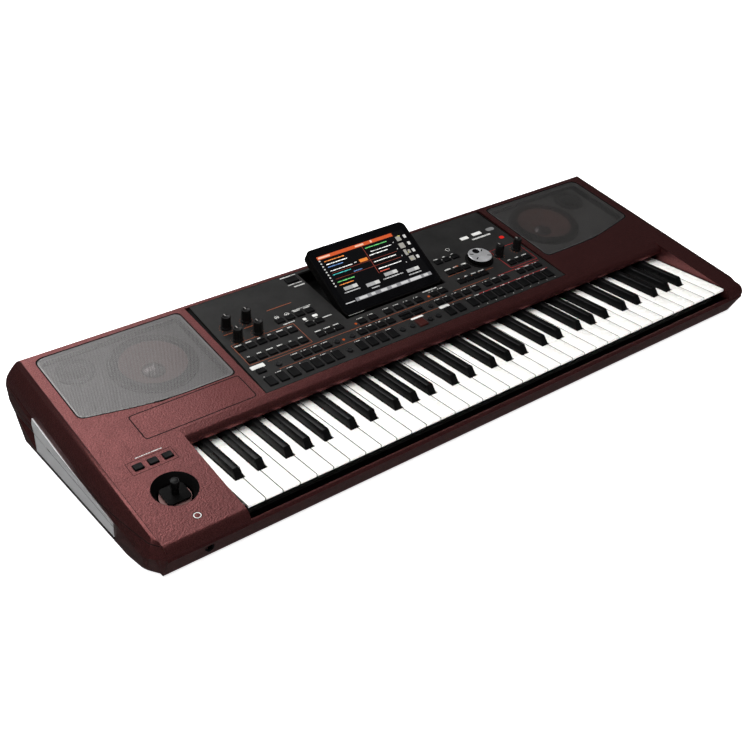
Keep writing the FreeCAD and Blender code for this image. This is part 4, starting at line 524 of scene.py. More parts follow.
def islands(node):
    """Points of each separate solid of a CAD node."""
    skin = welded(NODES[node].data)
    left = set(skin.verts)
    found = []
    while left:
        stack = [left.pop()]
        group = []
        while stack:
            vert = stack.pop()
            group.append(vert.co.copy())
            for edge in vert.link_edges:
                other = edge.other_vert(vert)
                if other in left:
                    left.remove(other)
                    stack.append(other)
        found.append(group)
    skin.free()
    return found


def caps_of(node):
    """Middle x and v, width and length of each solid of a node, from left to right."""
    caps = []
    for group in islands(node):
        across, up, _ = zip(*map(deck_coordinates, group))
        (left, right), (low, high) = [(min(places), max(places)) for places in (across, up)]
        caps.append(((left + right) / 2, (low + high) / 2, right - left, high - low))
    return sorted(caps)


def turning_middle(node):
    """x and v of the axis that a node of the deck turns about."""
    x, v, _ = deck_coordinates(Vector(JOINTS[node + "_turn"]["pos_m"]))
    return x, v


def softened(node, width):
    """A CAD node with its edges rounded, in place of it."""
    skin = welded(NODES[node].data)
    bmesh.ops.dissolve_limit(skin, angle_limit=radians(FLAT_ANGLE), verts=skin.verts, edges=skin.edges)
    sharp = [edge for edge in skin.edges
             if edge.is_manifold and edge.calc_face_angle() > radians(SHARP_ANGLE)]
    bmesh.ops.bevel(
        skin, geom=sharp, offset=width * MM, segments=2, profile=0.5, affect="EDGES", clamp_overlap=True)
    return stand_in(node, "_soft", meshed(skin, node + "_soft"), 40)


# Keys

WHITE_EDGE = 0.7
BLACK_EDGE = 1.0


def build_keys():
    """Keys with soft edges; the sides of the white ones are rougher than their tops and painted darker as shade
    between the keys.
    """
    # Painted shade: the side faces of the white keys get a darker, rougher grey plastic that stands in for the shade
    # in the gaps between the keys.
    side = moulded("key_side", (0.20, 0.195, 0.185), 0.7, gloss=0.1)
    for node in NODES:
        if SLOT_OF[node] == "key_white":
            piece = softened(node, WHITE_EDGE)
            piece.data.materials.append(side)
            for face in piece.data.polygons:
                # Faces looking sideways take the painted-shade plastic.
                face.material_index = int(abs(face.normal.x) > 0.9)
        elif SLOT_OF[node] == "key_black":
            softened(node, BLACK_EDGE)


# Cheeks and seams

SIDES = ((-1, "left"), (1, "right"))
# Front corner of a cheek in plan: middle, radius, turns of the planes that cut it, their fading to the seam.
CORNER_MIDDLE = (472.4, -152.15)
CORNER_RADIUS = 39.5
CORNER_TURNS = (-54, -46, -38, -30, -22, -14, -6)
SEAM_TURN = -60
FADE_TURN = 30
# Below the chin the planes lean as the case does.
CHIN_HIGH = 41.0
CHIN_SLOPE = 21.5 / 33.0
SIDE_SLOPE = 6.9 / 33.0
# At the brow they follow the chamfer, up to one turn.
BROW_END = -10
BROW_HIGH = 60.0
BROW_DROP = 12.0
BROW_SLOPE = 0.9
# Seams: x, v, width and length. Parting lines: a point, the way across, the thickness.
END_SEAM = (493.5, 184.0, 0.5, 352.0)
LEVEL = Vector((0, 0, 1))
CHEEK_LINE = (Vector((0, 0, 57)), LEVEL, 0.5)
INSERT_LINE = (Vector((0, 16, 47)), Vector((0, -0.07, 1)).normalized(), 0.8)
INSERT_FOOT = (Vector((0, 0, 15.4)), LEVEL, 4.2)
BAND_PROUD = 0.1


def corner_cuts():
    """Planes that round the front corner: turn, height and lean, at the chin and the brow."""
    for turn in CORNER_TURNS:
        angle = radians(turn)
        share = min(1.0, (turn - SEAM_TURN) / FADE_TURN)
        yield turn, CHIN_HIGH, CHIN_SLOPE * sin(angle) - SIDE_SLOPE * share * cos(angle)
        if turn < BROW_END:
            yield turn, BROW_HIGH - BROW_DROP * share, BROW_SLOPE


def build_cheeks():
    """Cheeks whose front corner follows the slope below the chin and the chamfer above."""
    for side, end in SIDES:
        node = end + "_cheek"
        skin = welded(NODES[node].data)
        for turn, high, lean in corner_cuts():
            out_x = cos(radians(turn))
            out_y = sin(radians(turn))
            spot = plain(side * (CORNER_MIDDLE[0] + CORNER_RADIUS * out_x),
                         CORNER_MIDDLE[1] + CORNER_RADIUS * out_y, high)
            slice_off(skin, spot, Vector((side * out_x, out_y, lean)).normalized())
        mesh = meshed(skin, node + "_round")
        stand_in(node, "_round", mesh, 32)
        band(node + "_line", mesh, *CHEEK_LINE)


def band(name, source, middle, away, thick):
    """A thin dark slice of a mesh, standing proud of it all round: a parting line."""
    skin = welded(source)
    for turn in (1, -1):
        slice_off(skin, (middle + away * turn * thick / 2) * MM, away * turn)
    skin.normal_update()
    for vert in skin.verts:
        out = Vector((vert.normal.x, vert.normal.y, 0))
        vert.co += out.normalized() * BAND_PROUD * MM
    finished(name, meshed(skin, name), RUBBER)


def build_seams():
    """Dark seams between the cheeks and the deck, parting lines of the inserts, groove round the badge."""
    bars("end_seams", RUBBER, [(side * END_SEAM[0], *END_SEAM[1:]) for side, _ in SIDES], radius=0.1)
    band("insert_lines", NODES["end_inserts"].data, *INSERT_LINE)
    band("insert_feet", NODES["end_inserts"].data, *INSERT_FOOT)
    (x, v, wide, long), = caps_of("badge_plate")
    outer = soft_box(x, v, wide + 2.0, long + 2.0, 5.0)
    inner = soft_box(x, v, wide - 0.9, long - 0.9, 3.6)
    groove = Shape().tube([(outer, -0.3), (outer, PRINT_HIGH), (inner, PRINT_HIGH), (inner, -0.3)])
    groove.make("badge_groove", RUBBER)


# Grilles and speakers

# Pitch and radius of the holes, height and thickness of the sheet, and its plain edge.
GRILLE_PITCH = 2.0
GRILLE_HOLE = 0.84
GRILLE_TOP = -0.3
GRILLE_SHEET = 0.4
GRILLE_EDGE = 1.0
# Corners of a grille and of its opening on the right side: x, v and corner radius.
OPENING_CORNERS = ((278, 360.2, 9), (278, 206.6, 9), (382, 206.6, 60), (478.5, 228, 9), (478.5, 360.2, 9))
GRILLE_CORNERS = ((278, 354.7, 9), (278, 206.6, 9), (382, 206.6, 60), (478.5, 228, 9), (478.5, 354.7, 13))
GRILLE_MIDDLE = (378, 283)


def rounded(corners, steps=6):
    """An outline through corners, each cut by a curve of about its radius."""
    line = []
    count = len(corners)
    for i, (x, y, radius) in enumerate(corners):
        here = Vector((x, y))
        back = Vector(corners[i - 1][:2]) - here
        ahead = Vector(corners[(i + 1) % count][:2]) - here
        reach = min(radius, back.length * 0.45, ahead.length * 0.45)
        start = here + back.normalized() * reach
        stop = here + ahead.normalized() * reach
        for step in range(steps + 1):
            t = step / steps
            point = start * (1 - t) ** 2 + here * 2 * t * (1 - t) + stop * t ** 2
            line.append((point.x, point.y))
    return line


def inside_by(line, x, y, margin):
    """True where a point is inside a convex outline, drawn to the left, by a margin."""
    for start, stop in zip(line, line[1:] + line[:1]):
        start = Vector(start)
        run = Vector(stop) - start
        if run.length > 1e-6 and (run.x * (y - start.y) - run.y * (x - start.x)) / run.length < margin:
            return False
    return True


def grille_holes(line):
    """Middles of the holes, in staggered rows."""
    xs, ys = zip(*line)
    step_y = GRILLE_PITCH * sqrt(0.75)
    rows = int((max(ys) - min(ys)) / step_y)
    columns = int((max(xs) - min(xs)) / GRILLE_PITCH) + 1
    for row in range(rows):
        y = min(ys) + (row + 0.5) * step_y
        for column in range(columns):
            x = min(xs) + (column + 0.5 * (row % 2)) * GRILLE_PITCH
            if inside_by(line, x, y, GRILLE_EDGE):
                yield x, y


def pierced(name, line, holes, top, thick):
    """Mesh of a flat sheet on the deck with holes through it."""
    points = [Vector(point) for point in line]
    faces = [list(range(len(points)))]
    for hole in holes:
        first = len(points)
        points += [Vector(point) for point in hole]
        faces.append(list(range(first, len(points))))
    flat, _, tris, _, _, origins = delaunay_2d_cdt(points, [], faces, 1, 1e-4)
    kept = [tuple(tri) for tri, origin in zip(tris, origins) if list(origin) == [0]]
    count = len(flat)
    skin = [deck(p.x, p.y, top) for p in flat] + [deck(p.x, p.y, top - thick) for p in flat]
    shell = kept + [tuple(count + i for i in reversed(tri)) for tri in kept]
    used = {(a, b) for tri in kept for a, b in zip(tri, tri[1:] + tri[:1])}
    shell += [(b, a, count + a, count + b) for a, b in sorted(used) if (b, a) not in used]
    mesh = bpy.data.meshes.new(name)
    mesh.from_pydata(skin, [], shell)
    mesh.validate()
    return mesh


def grille_line(side, corners=GRILLE_CORNERS):
    """Outline of a grille, drawn the same way round at both ends."""
    return rounded([(side * x, v, radius) for x, v, radius in corners][::side])


def drawn_in(line, side, share_x, share_y):
    """An outline drawn towards the grille's middle by shares of the way, or outward by negative ones."""
    return [(x + (side * GRILLE_MIDDLE[0] - x) * share_x, y + (GRILLE_MIDDLE[1] - y) * share_y) for x, y in line]


def build_grilles():
    """Perforated sheets with folded edges, each in a dark seal and a painted trim."""
    for side, end in SIDES:
        node = end + "_grille"
        line = grille_line(side)
        holes = [round_line(x, y, GRILLE_HOLE, 6) for x, y in grille_holes(line)]
        stand_in(node, "_sheet", pierced(node + "_sheet", line, holes, GRILLE_TOP, GRILLE_SHEET))
        inner = drawn_in(line, side, 0.012, 0.016)
        fold = Shape().tube([(line, GRILLE_TOP), (line, -3.0), (inner, -3.0), (inner, -1.2)])
        fold.put(node + "_fold", "grille_metal", smooth=40)
        edge = drawn_in(grille_line(side, OPENING_CORNERS), side, -0.006, -0.008)
        trim = finished(node + "_trim", pierced(node + "_trim", edge, [line], 0.04, 1.0), MATERIALS["case_top"])
        outer = drawn_in(line, side, -0.018, -0.026)
        seal = Shape().tube([(line, -1.6), (line, PRINT_HIGH), (outer, PRINT_HIGH), (outer, -1.6)])
        seal.put(node + "_seal", "rubber")


# Middles of the speakers on the right side: x and v.
WOOFER = (350, 289)
TWEETER = (440, 323.6)
WOOFER_SEAT = 58.6
TWEETER_SEAT = 25.6
# Heights of the speakers' rims, of the baffle and of its raised edge.
RIM = -10.0
BAFFLE = -13.0
BAFFLE_RIM = -3.0
LINER = 0.4
CONE_RADIUS = 43.0
CAP_RADIUS = 15.6
CAP_LOW = -14.6


def at_rim(x, v, n):
    """Point over the speakers' rims."""
    return deck(x, v, RIM + n)


def build_speakers():
    """Cones, surrounds, dust caps and tweeters behind the grilles, and the liners of the baffles."""
    cap_metal = satin_metal("dust_cap", (0.30, 0.26, 0.26), 0.2)
    liner = felt("baffle_liner", (0.075, 0.072, 0.072))
    for side, end in SIDES:
        x, v = side * WOOFER[0], WOOFER[1]
        cone = Shape(at_rim).lathe(x, v, [
            (12, -15), (CONE_RADIUS, -0.6), (CONE_RADIUS + 1.4, 0.2), (CONE_RADIUS + 0.6, 1.2), (36, -2.2),
            (28, -7.0), (20, -11.6), (15, -14.2)], 96)
        pulp = cone.put(end + "_woofer_cone", "cone_paper", smooth=50)
        section = [(CONE_RADIUS + 14, 0.0), (CONE_RADIUS + 14, 1)]
        for step in range(9):
            angle = pi * step / 8
            section.append((CONE_RADIUS + 7.2 + 5.8 * cos(angle), 1.2 + 3.4 * sin(angle)))
        section += [(CONE_RADIUS + 0.9, 1.2), (CONE_RADIUS + 0.9, 0.0)]
        Shape(at_rim).hoop(x, v, section, 96).put(end + "_woofer_surround", "rubber", smooth=50)
        dome = [(CAP_RADIUS, CAP_LOW)]
        for step in range(1, 9):
            angle = pi / 2 * step / 8
            dome.append((CAP_RADIUS * cos(angle) + 0.2, CAP_LOW + 7.0 * sin(angle)))
        Shape(at_rim).lathe(x, v, dome, 64).put(end + "_dust_cap", "magnet_steel", smooth=60, material=cap_metal)
        horn_x, horn_v = side * TWEETER[0], TWEETER[1]
        line = grille_line(side)
        seats = [round_line(x, v, WOOFER_SEAT, 64), round_line(horn_x, horn_v, TWEETER_SEAT, 48)]
        inset = drawn_in(line, side, 0.045, 0.07)
        for name, edge, openings, low in ((end + "_baffle_liner", drawn_in(line, side, 0.02, 0.03), seats, BAFFLE),
                                          (end + "_rim_liner", line, [inset], BAFFLE_RIM)):
            finished(name, pierced(name, edge, openings, low + LINER, LINER), liner)
        horn = Shape(at_rim).lathe(horn_x, horn_v, [
            (25, -3), (25, -0.4), (24.2, 0.0), (21, -0.3), (17, -1.3), (14.5, -1.9), (13.6, -0.4), (12.2, 1.6),
            (9.5, 3.4), (6, 4.4), (2, 4.8), (0.2, 4.85)], 64)
        face = horn.put(end + "_tweeter_face", "magnet_steel", smooth=50)
        # One CAD node is both cones, one both tweeters: the left piece stands for it.
        if side < 0:
            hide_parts("woofer_cones")
            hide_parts("tweeters")


# Buttons, knobs and dial

CAP_NODES = ("style_buttons", "middle_buttons", "front_buttons", "page_buttons", "start_button", "power_button",
             "assign_switches", "round_buttons")
# Rings of a cap from low to high: height and inset. A round cap's solid has so many sides.
CAP_STEPS = ((-3.2, 0.0), (1.15, 0.22), (1.62, 0.36), (1.9, 0.66), (2.0, 1.05), (1.93, 1.7), (1.86, 2.4))
CAP_CORNER = 1.3
ROUND_CAP_SIDES = 12


def build_caps():
    """Moulded caps with soft edges and a slightly hollow top, one mesh for each block."""
    for node in CAP_NODES:
        shape = Shape()
        for x, v, wide, long in caps_of(node):
            if node == "round_buttons":
                radius = wide / 2 / cos(pi / ROUND_CAP_SIDES)
                shape.pile([(round_line(x, v, radius - inset * 0.8, 32), n) for n, inset in CAP_STEPS])
            else:
                shape.pile([(soft_box(x, v, wide - inset * 2, long - inset * 2, CAP_CORNER), n)
                            for n, inset in CAP_STEPS])
        stand_in(node, "_caps", shape.mesh(node + "_caps"), 35)


KNOB_NODES = sorted(node for node in NODES if "_knob_" in node)
KNOB_FLUTES = 18
# Rings of a knob from low to high: radius, height and depth of its flutes.
KNOB_STEPS = (
    (7.5, 1.0, 0.0), (7.5, 2.6, 0.0), (7.3, 3.0, 0.0), (6.7, 3.4, 0.3), (6.45, 10.0, 0.35), (6.3, 18.6, 0.35),
    (6.1, 19.4, 0.2), (5.6, 19.9, 0.0), (5.0, 20.0, 0.0), (4.6, 19.75, 0.0), (1.0, 19.7, 0.0),
)
# Pointer of a knob on its top and its side: place, width, length, corner, low and high end.
KNOB_MARKS = {"mark": (3.4, 1.3, 4.4, 0.4, 19.6, 20.08), "side_mark": (6.3, 1.2, 0.8, 0.2, 4.5, 19.2)}


def fluted(x, y, radius, depth, sides=72):
    """A round outline with shallow flutes."""
    line = []
    for i in range(sides):
        angle = 2 * pi * i / sides
        reach = radius - depth * (0.5 - 0.5 * cos(KNOB_FLUTES * angle))
        line.append((x + reach * cos(angle), y + reach * sin(angle)))
    return line


def build_knobs():
    """Fluted knobs, each with its pointer."""
    for node in KNOB_NODES:
        x, v = turning_middle(node)
        body = NODES[node]["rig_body"]
        cap = Shape().pile([(fluted(x, v, radius, depth), n) for radius, n, depth in KNOB_STEPS])
        stand_in(node, "_cap", cap.mesh(node + "_cap"), 35)
        for part, (ahead, wide, long, corner, low, high) in KNOB_MARKS.items():
            mark = Shape().slab(soft_box(x, v + ahead, wide, long, corner), low, high)
            mark.put("%s_%s" % (node, part), "knob_black", body, material=POINTER_WHITE)


DIAL_RADIUS = 19.0
DIAL_FACE = 17.5
DIAL_LOW = 1.2
DIAL_TOP = 9.2
DIAL_SIDES = 96
DIAL_RINGS = 24
# Finger dimple: x, y, radius and depth. Its lining: shares of the radius, and heights.
DIMPLE = (0.8, 10.6, 6.2, 1.5)
LINING_SHARES = (0.2, 0.45, 0.7, 0.92)
LINING_LOW = -0.3
LINING_HIGH = 0.12
# Slots: x and y of each, and its corners along and aside of its own line.
DIAL_SLOTS = ((-11, 7), (12, -8), (-10, -6), (10, 8))
SLOT_CORNERS = ((-3.0, -0.9), (3.0, -0.9), (3.0, 0.9), (-3.0, 0.9))


def dial_height(x, y):
    """Height of the dial's face: slightly dished, with the finger dimple."""
    reach = hypot(x, y) / DIAL_RADIUS
    height = DIAL_TOP - 0.35 * (1 - reach ** 2)
    gap = hypot(x - DIMPLE[0], y - DIMPLE[1]) / DIMPLE[2]
    if gap < 1:
        height -= DIMPLE[3] * (1 - gap ** 2)
    return height


@maker
def turned_metal(recipe):
    """Turned metal: fine circles and a sheen that follows the turning."""
    circles = {"Scale": 900.0, "Distortion": 0.6}
    rings = recipe.texture("Wave", circles, wave_type="RINGS", rings_direction="Z")["Fac"]
    recipe.colour(recipe.ramp(rings, (0.62, 0.62, 0.63), (0.68, 0.68, 0.69), start=0.2, stop=0.8))
    recipe.rough(recipe.span(rings, 0.28, 0.31, 0.0, 1.0))
    tangent = recipe.add("ShaderNodeTangent", direction_type="RADIAL", axis="Z")
    recipe.link(tangent.outputs["Tangent"], recipe.shader.inputs["Tangent"])
    recipe.set(Metallic=0.7, Anisotropic=0.85)


def build_dial():
    """Dial of turned metal with a black side, slots and dimple, in a black ring on the case."""
    x, v = turning_middle("value_dial")
    shape = Shape(plain)
    rings = [shape.ring(round_line(0, 0, radius, DIAL_SIDES), n) for radius, n in (
        (DIAL_RADIUS - 0.6, DIAL_LOW), (DIAL_RADIUS, DIAL_LOW + 0.6), (DIAL_RADIUS, DIAL_TOP - 1.9),
        (DIAL_RADIUS - 0.5, DIAL_TOP - 0.8), (DIAL_FACE, DIAL_TOP))]
    for step in range(1, DIAL_RINGS):
        rings.append(shape.draped(round_line(0, 0, DIAL_FACE * (1 - step / DIAL_RINGS), DIAL_SIDES), dial_height))
    shape.loft(rings)
    place = Matrix.Translation(deck(x, v)) @ Matrix((ACROSS, ALONG, OUT)).transposed().to_4x4()
    dial = shape.make("value_dial_turned", turned_metal("dial_turned"), "dial", 40, place)
    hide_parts("value_dial")
    dial.data.materials.append(BLACK)
    for face in dial.data.polygons[:3 * DIAL_SIDES]:
        face.material_index = 1
    slots = Shape()
    for dx, dy in DIAL_SLOTS:
        angle = atan2(dy, dx)
        line = [(x + dx + along * cos(angle) - aside * sin(angle),
                 v + dy + along * sin(angle) + aside * cos(angle)) for along, aside in SLOT_CORNERS]
        slots.slab(line, DIAL_TOP - 0.5, DIAL_TOP + 0.02)
    slots.put("dial_slots", "black_plastic", "dial", material=RUBBER)
    lining = Shape()
    rings = []
    for lift, shares in ((LINING_LOW, LINING_SHARES), (LINING_HIGH, LINING_SHARES[::-1])):
        for share in shares:
            line = round_line(x + DIMPLE[0], v + DIMPLE[1], DIMPLE[2] * share, 48)
            rings.append(lining.draped(line, lambda a, b: dial_height(a - x, b - v) + lift))
    lining.loft(rings)
    lining.put("dial_dimple", "black_plastic", "dial", 50)
    ring = Shape().hoop(x, v, [(19.5, 0.0), (22.0, 0.0), (21.8, 0.7), (21.0, 1.0), (19.5, 0.8)], 96)
    ring.put("dial_ring", "black_plastic", smooth=40)


# Joystick

STICK = (-440.5, 67.2)
# Square plate: width, length and corner, and its rings from low to high: height and inset.
STICK_PLATE = (30.3, 28.3, 5.1)
PLATE_STEPS = ((-9.6, 0.5), (-9.3, 0.1), (-7.9, 0.0), (-7.5, 0.2), (-7.38, 0.8))


def build_joystick():
    """Conical bowl on the case; boot, plate and grip on the stick."""
    bowl = Shape().hoop(*STICK, [
        (27.4, -0.3), (27.1, -0.2), (26.6, -0.5), (21.4, -11.2), (21.0, -11.9), (22.4, -11.9), (27.4, -3.2)])
    bowl.put("joystick_bowl", "black_plastic", smooth=40)
    boot = Shape().hoop(*STICK, [
        (4.2, -12.4), (8.0, -12.7), (18.0, -13.1), (18.8, -13.3), (18.6, -13.5), (4.2, -13.4)])
    boot.put("joystick_boot", "rubber", "stick", 50, BOOT_BROWN)
    wide, long, corner = STICK_PLATE
    plate = Shape().pile([(soft_box(*STICK, wide - 2 * inset, long - 2 * inset, corner - inset, 8), n)
                          for n, inset in PLATE_STEPS])
    plate.put("joystick_square", "black_plastic", "stick", 35)
    grip = Shape().lathe(*STICK, [
        (4.36, -7.6), (4.36, 1.6), (4.6, 2.6), (5.05, 3.0), (5.2, 3.8), (5.2, 11.2), (5.0, 12.3), (4.4, 13.0),
        (3.2, 13.4), (1.6, 13.55), (0.2, 13.6)])
    grip.put("joystick_grip", "knob_black", "stick", 40)


# Underside and rear

FEET = [(x, y) for x in (-440, 0, 440) for y in (-120, 150)]
SCREWS = [(x, y) for x in (-470, -320, -160, 160, 320, 470) for y in (-140, 40, 170)]
# Sockets of the connector plate: x of each, their common height and that of their labels.
JACKS = (120, 150)
DINS = (-10, 24)
USB = -80
INLET = -210
SOCKET_HIGH = 81
LABEL_HIGH = 93.5
DIN_PINS = 5
DIN_PIN_REACH = 4.2
INLET_PINS = ((-6, 1), (0, -2), (6, 1))


def build_underside():
    """Rounded rubber feet and recessed case screws."""
    feet = Shape(plain)
    for x, y in FEET:
        feet.lathe(x, y, [(9.4, 0.0), (10.5, 0.3), (11.15, 1.4), (11.15, 6.8), (11.6, 8.0)], 40)
    feet.put("foot_pads", "rubber", smooth=40)
    heads = Shape(plain)
    slots = Shape(plain)
    for x, y in SCREWS:
        heads.lathe(x, y, [(3.2, 8.0), (3.6, 7.7), (3.2, 7.3), (2.0, 7.05), (0.3, 7.0)], 24)
        for wide, long in ((3.2, 0.7), (0.7, 3.2)):
            slots.slab(soft_box(x, y, wide, long, 0.1, 2), 6.96, 7.2)
    heads.put("case_screws", "steel", smooth=50)
    slots.put("case_screw_slots", "black_plastic")


def build_rear():
    """Nuts of the jacks, rims of the sockets, their pins and labels."""
    nuts = Shape(rear)
    for x in JACKS:
        nuts.hoop(x, SOCKET_HIGH, [(4.4, 0.0), (6.6, 0.0), (6.6, 1.2), (6.0, 1.7), (4.6, 1.7)], 6)
    nuts.put("jack_nuts", "steel")
    rims = Shape(rear)
    for x in DINS:
        rims.hoop(x, SOCKET_HIGH, [(7.5, 0.0), (9.6, 0.0), (9.4, 0.6), (7.6, 0.8)], 48)
    rims.put("din_rims", "black_plastic", smooth=40)
    pins = Shape(rear)
    for x in DINS:
        for step in range(DIN_PINS):
            angle = pi * (step + 0.5) / DIN_PINS + pi
            pins.lathe(x + DIN_PIN_REACH * cos(angle), SOCKET_HIGH + DIN_PIN_REACH * sin(angle),
                       [(0.7, -11.5), (0.7, -4.5), (0.3, -4.2)], 12)
    for dx, dz in INLET_PINS:
        pins.slab(soft_box(INLET + dx, SOCKET_HIGH + dz, 1.6, 4.0, 0.3, 2), -16.5, -5.0)
    pins.put("socket_pins", "steel", smooth=40)
    tongue = Shape(rear).slab(soft_box(USB, SOCKET_HIGH, 5.6, 3.2, 0.3, 2), -11.5, -3.4)
    tongue.put("usb_tongue", "black_plastic", material=MATERIALS["button_light"])
    widths = [(x, 14) for x in JACKS] + [(x, 18) for x in DINS] + [(USB, 16)]
    bars("rear_labels", WHITE_INK, [(x, LABEL_HIGH, wide, 1.5) for x, wide in widths], rear)


# Prints of the panel

# Rows of buttons by their v, and how far above them their labels stand; rows with lamps beside the labels.
LABEL_RISE = {244.7: 8.2, 218.5: 8.2, 270.7: 8.6, 274.7: 8.2, 193.8: 7.7, 213.7: 7.8, 170.0: 11.4}
LAMP_ROWS = (193.8, 213.7)
LAMP_RADIUS = 0.6
WIDEST_LABELLED = 15
# Marks by their places in plan: x, y, width and height.
PANEL_LABELS = (
    (-161, 79, 18, 1.7), (-128, 99, 30, 1.3), (-115, 66, 30, 1.6), (-123, 38, 42, 1.6), (-103, 170, 26, 1.6),
    (-103, 151, 24, 1.4), (-100, 144.5, 18, 2.2), (129, 95, 42, 1.4), (219, 114.5, 37, 3.4), (-68, 52, 26, 2.0),
    (57, 44, 26, 1.6),
)
PANEL_FIELDS = (
    (-247, 22, 20.5, 7.5), (50.6, 2.6, 17, 5.5), (0, 1.4, 21, 3.4), (192, 124, 15, 7), (218, 125, 18, 7),
    (115, 71, 9, 2.6), (145, 71, 9, 2.6), (-138, 75.5, 5, 5), (-121, 75.5, 8, 5),
)
ORANGE_RULES = (
    (-80, 24, 300, 0.5), (-60, 4, 330, 0.45), (120, 24, 70, 0.5), (-153, 116, 40, 0.7), (130, 71, 9, 2.2),
    (-240, 98, 22, 0.8), (-209, 98, 22, 0.8), (120, 56, 34, 0.5), (150, 42, 60, 0.5),
)
RED_RULES = ((213, 22, 84, 0.6), (185, 1, 138, 0.6))
GREY_FIELD = (246, 125, 16, 8)
LIT_SQUARE = (247, 98, 8.0, 6.4)
LIT_LAMPS = ((-83, 32), (46, 32), (-118, 12))
ICON_RINGS = ((-169, 97, 3.2), (-153, 97, 3.2), (148, 112, 3.4))
# Marks of the left block by x and v: label and frame of the switches, ring beside the joystick.
SWITCH_LABEL = (-438.4, 133.5, 34, 1.2)
SWITCH_FRAME = (-470, -412, 109, 130)
RING_MARK = (-440, 17.8)


def in_plan(marks):
    """Marks of the deck from their places in plan."""
    return [(x, plan_v(y), *size) for x, y, *size in marks]


def frame_line(x0, x1, v0, v1, thick=0.5):
    """Four bars round a field."""
    wide = x1 - x0
    middle = (x0 + x1) / 2
    return [
        (middle, v0, wide, thick), (middle, v1, wide, thick),
        (x0, (v0 + v1) / 2, thick, v1 - v0), (x1, (v0 + v1) / 2, thick, v1 - v0),
    ]


def button_marks():
    """Label bars and lamps of the buttons."""
    labels = []
    lamps = []
    for node in ("style_buttons", "middle_buttons", "front_buttons", "page_buttons"):
        for number, (x, v, wide, _) in enumerate(caps_of(node)):
            if wide > WIDEST_LABELLED:
                continue
            row = min(LABEL_RISE, key=lambda known: abs(known - v))
            above = v + LABEL_RISE[row]
            share = 0.62 + 0.3 * sin(number * 2.4 + v)
            if node == "front_buttons":
                lamps.append((x - 3.5, above))
                if number % 3:
                    labels.append((x + 1.5, above, 5.5, 1.1))
            elif row in LAMP_ROWS:
                lamps.append((x - 4.0, above))
                labels.append((x + 1.6, above, 8.0 * share, 1.3))
            else:
                labels.append((x, above, 11.5 * share, 1.7))
    return labels, lamps


def build_prints():
    """Label bars, rules, fields and lamps of the panel, all plain marks."""
    labels, lamps = button_marks()
    lamps += in_plan((x, -23) for x in range(94, 250, 17))
    bars("print_labels", WHITE_INK, labels + in_plan(PANEL_LABELS) + [SWITCH_LABEL])
    dots("print_lamps", SOLID_WHITE, lamps, LAMP_RADIUS, 10, PRINT_HIGH * 3)
    bars("print_fields", SOLID_WHITE, in_plan(PANEL_FIELDS), radius=1.0)
    bars("print_grey", GREY_INK, in_plan([GREY_FIELD]), radius=3.8)
    bars("print_orange", ORANGE_INK, frame_line(-254, -157, plan_v(29), plan_v(75)) + in_plan(ORANGE_RULES))
    bars("print_red", RED_INK, frame_line(203, 257, plan_v(27), plan_v(77)) + in_plan(RED_RULES))
    dots("lit_lamps", ORANGE_LAMP, in_plan(LIT_LAMPS), 1.9, 16, 0.3)
    bars("lit_square", RED_LAMP, in_plan([LIT_SQUARE]), high=0.3, radius=1.6)
    rings = Shape()
    for x, v, radius, line in [(*RING_MARK, 4.5, 0.95)] + [(*ring, 0.55) for ring in in_plan(ICON_RINGS)]:
        rings.hoop(x, v, [(radius - line, 0.0), (radius, 0.0), (radius, PRINT_HIGH), (radius - line, PRINT_HIGH)], 40)
    rings.make("print_rings", SOLID_WHITE)
    groove = Shape().hoop(*RING_MARK, [(4.55, -0.2), (5.15, -0.2), (5.15, PRINT_HIGH), (4.55, PRINT_HIGH)], 40)
    groove.make("mark_groove", RUBBER)
    ticks = []
    for x, v in map(turning_middle, KNOB_NODES):
        for step in range(11):
            angle = radians(-60 + 30 * step)
            ticks.append((x + 9.2 * cos(angle), v + 9.2 * sin(angle)))
    dots("knob_ticks", ORANGE_INK, ticks, 0.45, 8, PRINT_HIGH)
    bars("switch_frame", BLACK, frame_line(*SWITCH_FRAME, 0.6), high=0.1)


# Picture of the screen

# Height of the strokes in a row of the menu, as a share of the row.
TEXT_SHARE = 0.7
# Rows of strokes: their colour, and left, right, low and high edge of each.
ROWS = {
    "orange": ((0.75, 0.22, 0.04), [(-68, -34, 84, 86), (-68, -44, 41.6, 43.4)]),
    "white": ((0.80, 0.80, 0.78), [
        (-68, -32, 78.6, 80.6), (-26, -22, 68, 70), (-68, -30, 67, 68.8), (3, 43, 58.6, 60.6), (3, 45, 46, 48),
        (3, 36, 71, 73), (8, 46, 76.4, 78)]),
    "blue": ((0.10, 0.20, 0.42), [(-68, -42, 74, 75.8), (-35, -20, 55, 57)]),
    "teal": ((0.05, 0.42, 0.40), [(-68, -37, 60, 62)]),
    "green": ((0.12, 0.50, 0.14), [(-68, -39, 47, 49), (3, 42, 84, 86)]),
    "red": ((0.55, 0.08, 0.05), [(3, 20, 41.2, 43)]),
}
# Low and high side of the ground, of the fields on it and of the marks on those.
GROUND = (0.0, 0.02)
FIELD = (0.02, 0.08)
MARK = (0.08, 0.12)


def lit(name, material, boxes, level=FIELD):
    """One piece of the picture: left, right, low and high edge of each field."""
    share = TEXT_SHARE if name.endswith("_rows") else 1.0
    flat = [((x0 + x1) / 2, (y0 + y1) / 2, x1 - x0, (y1 - y0) * share) for x0, x1, y0, y1 in boxes]
    bars("screen_" + name, material, flat, screen, "display", *level, 0.4)


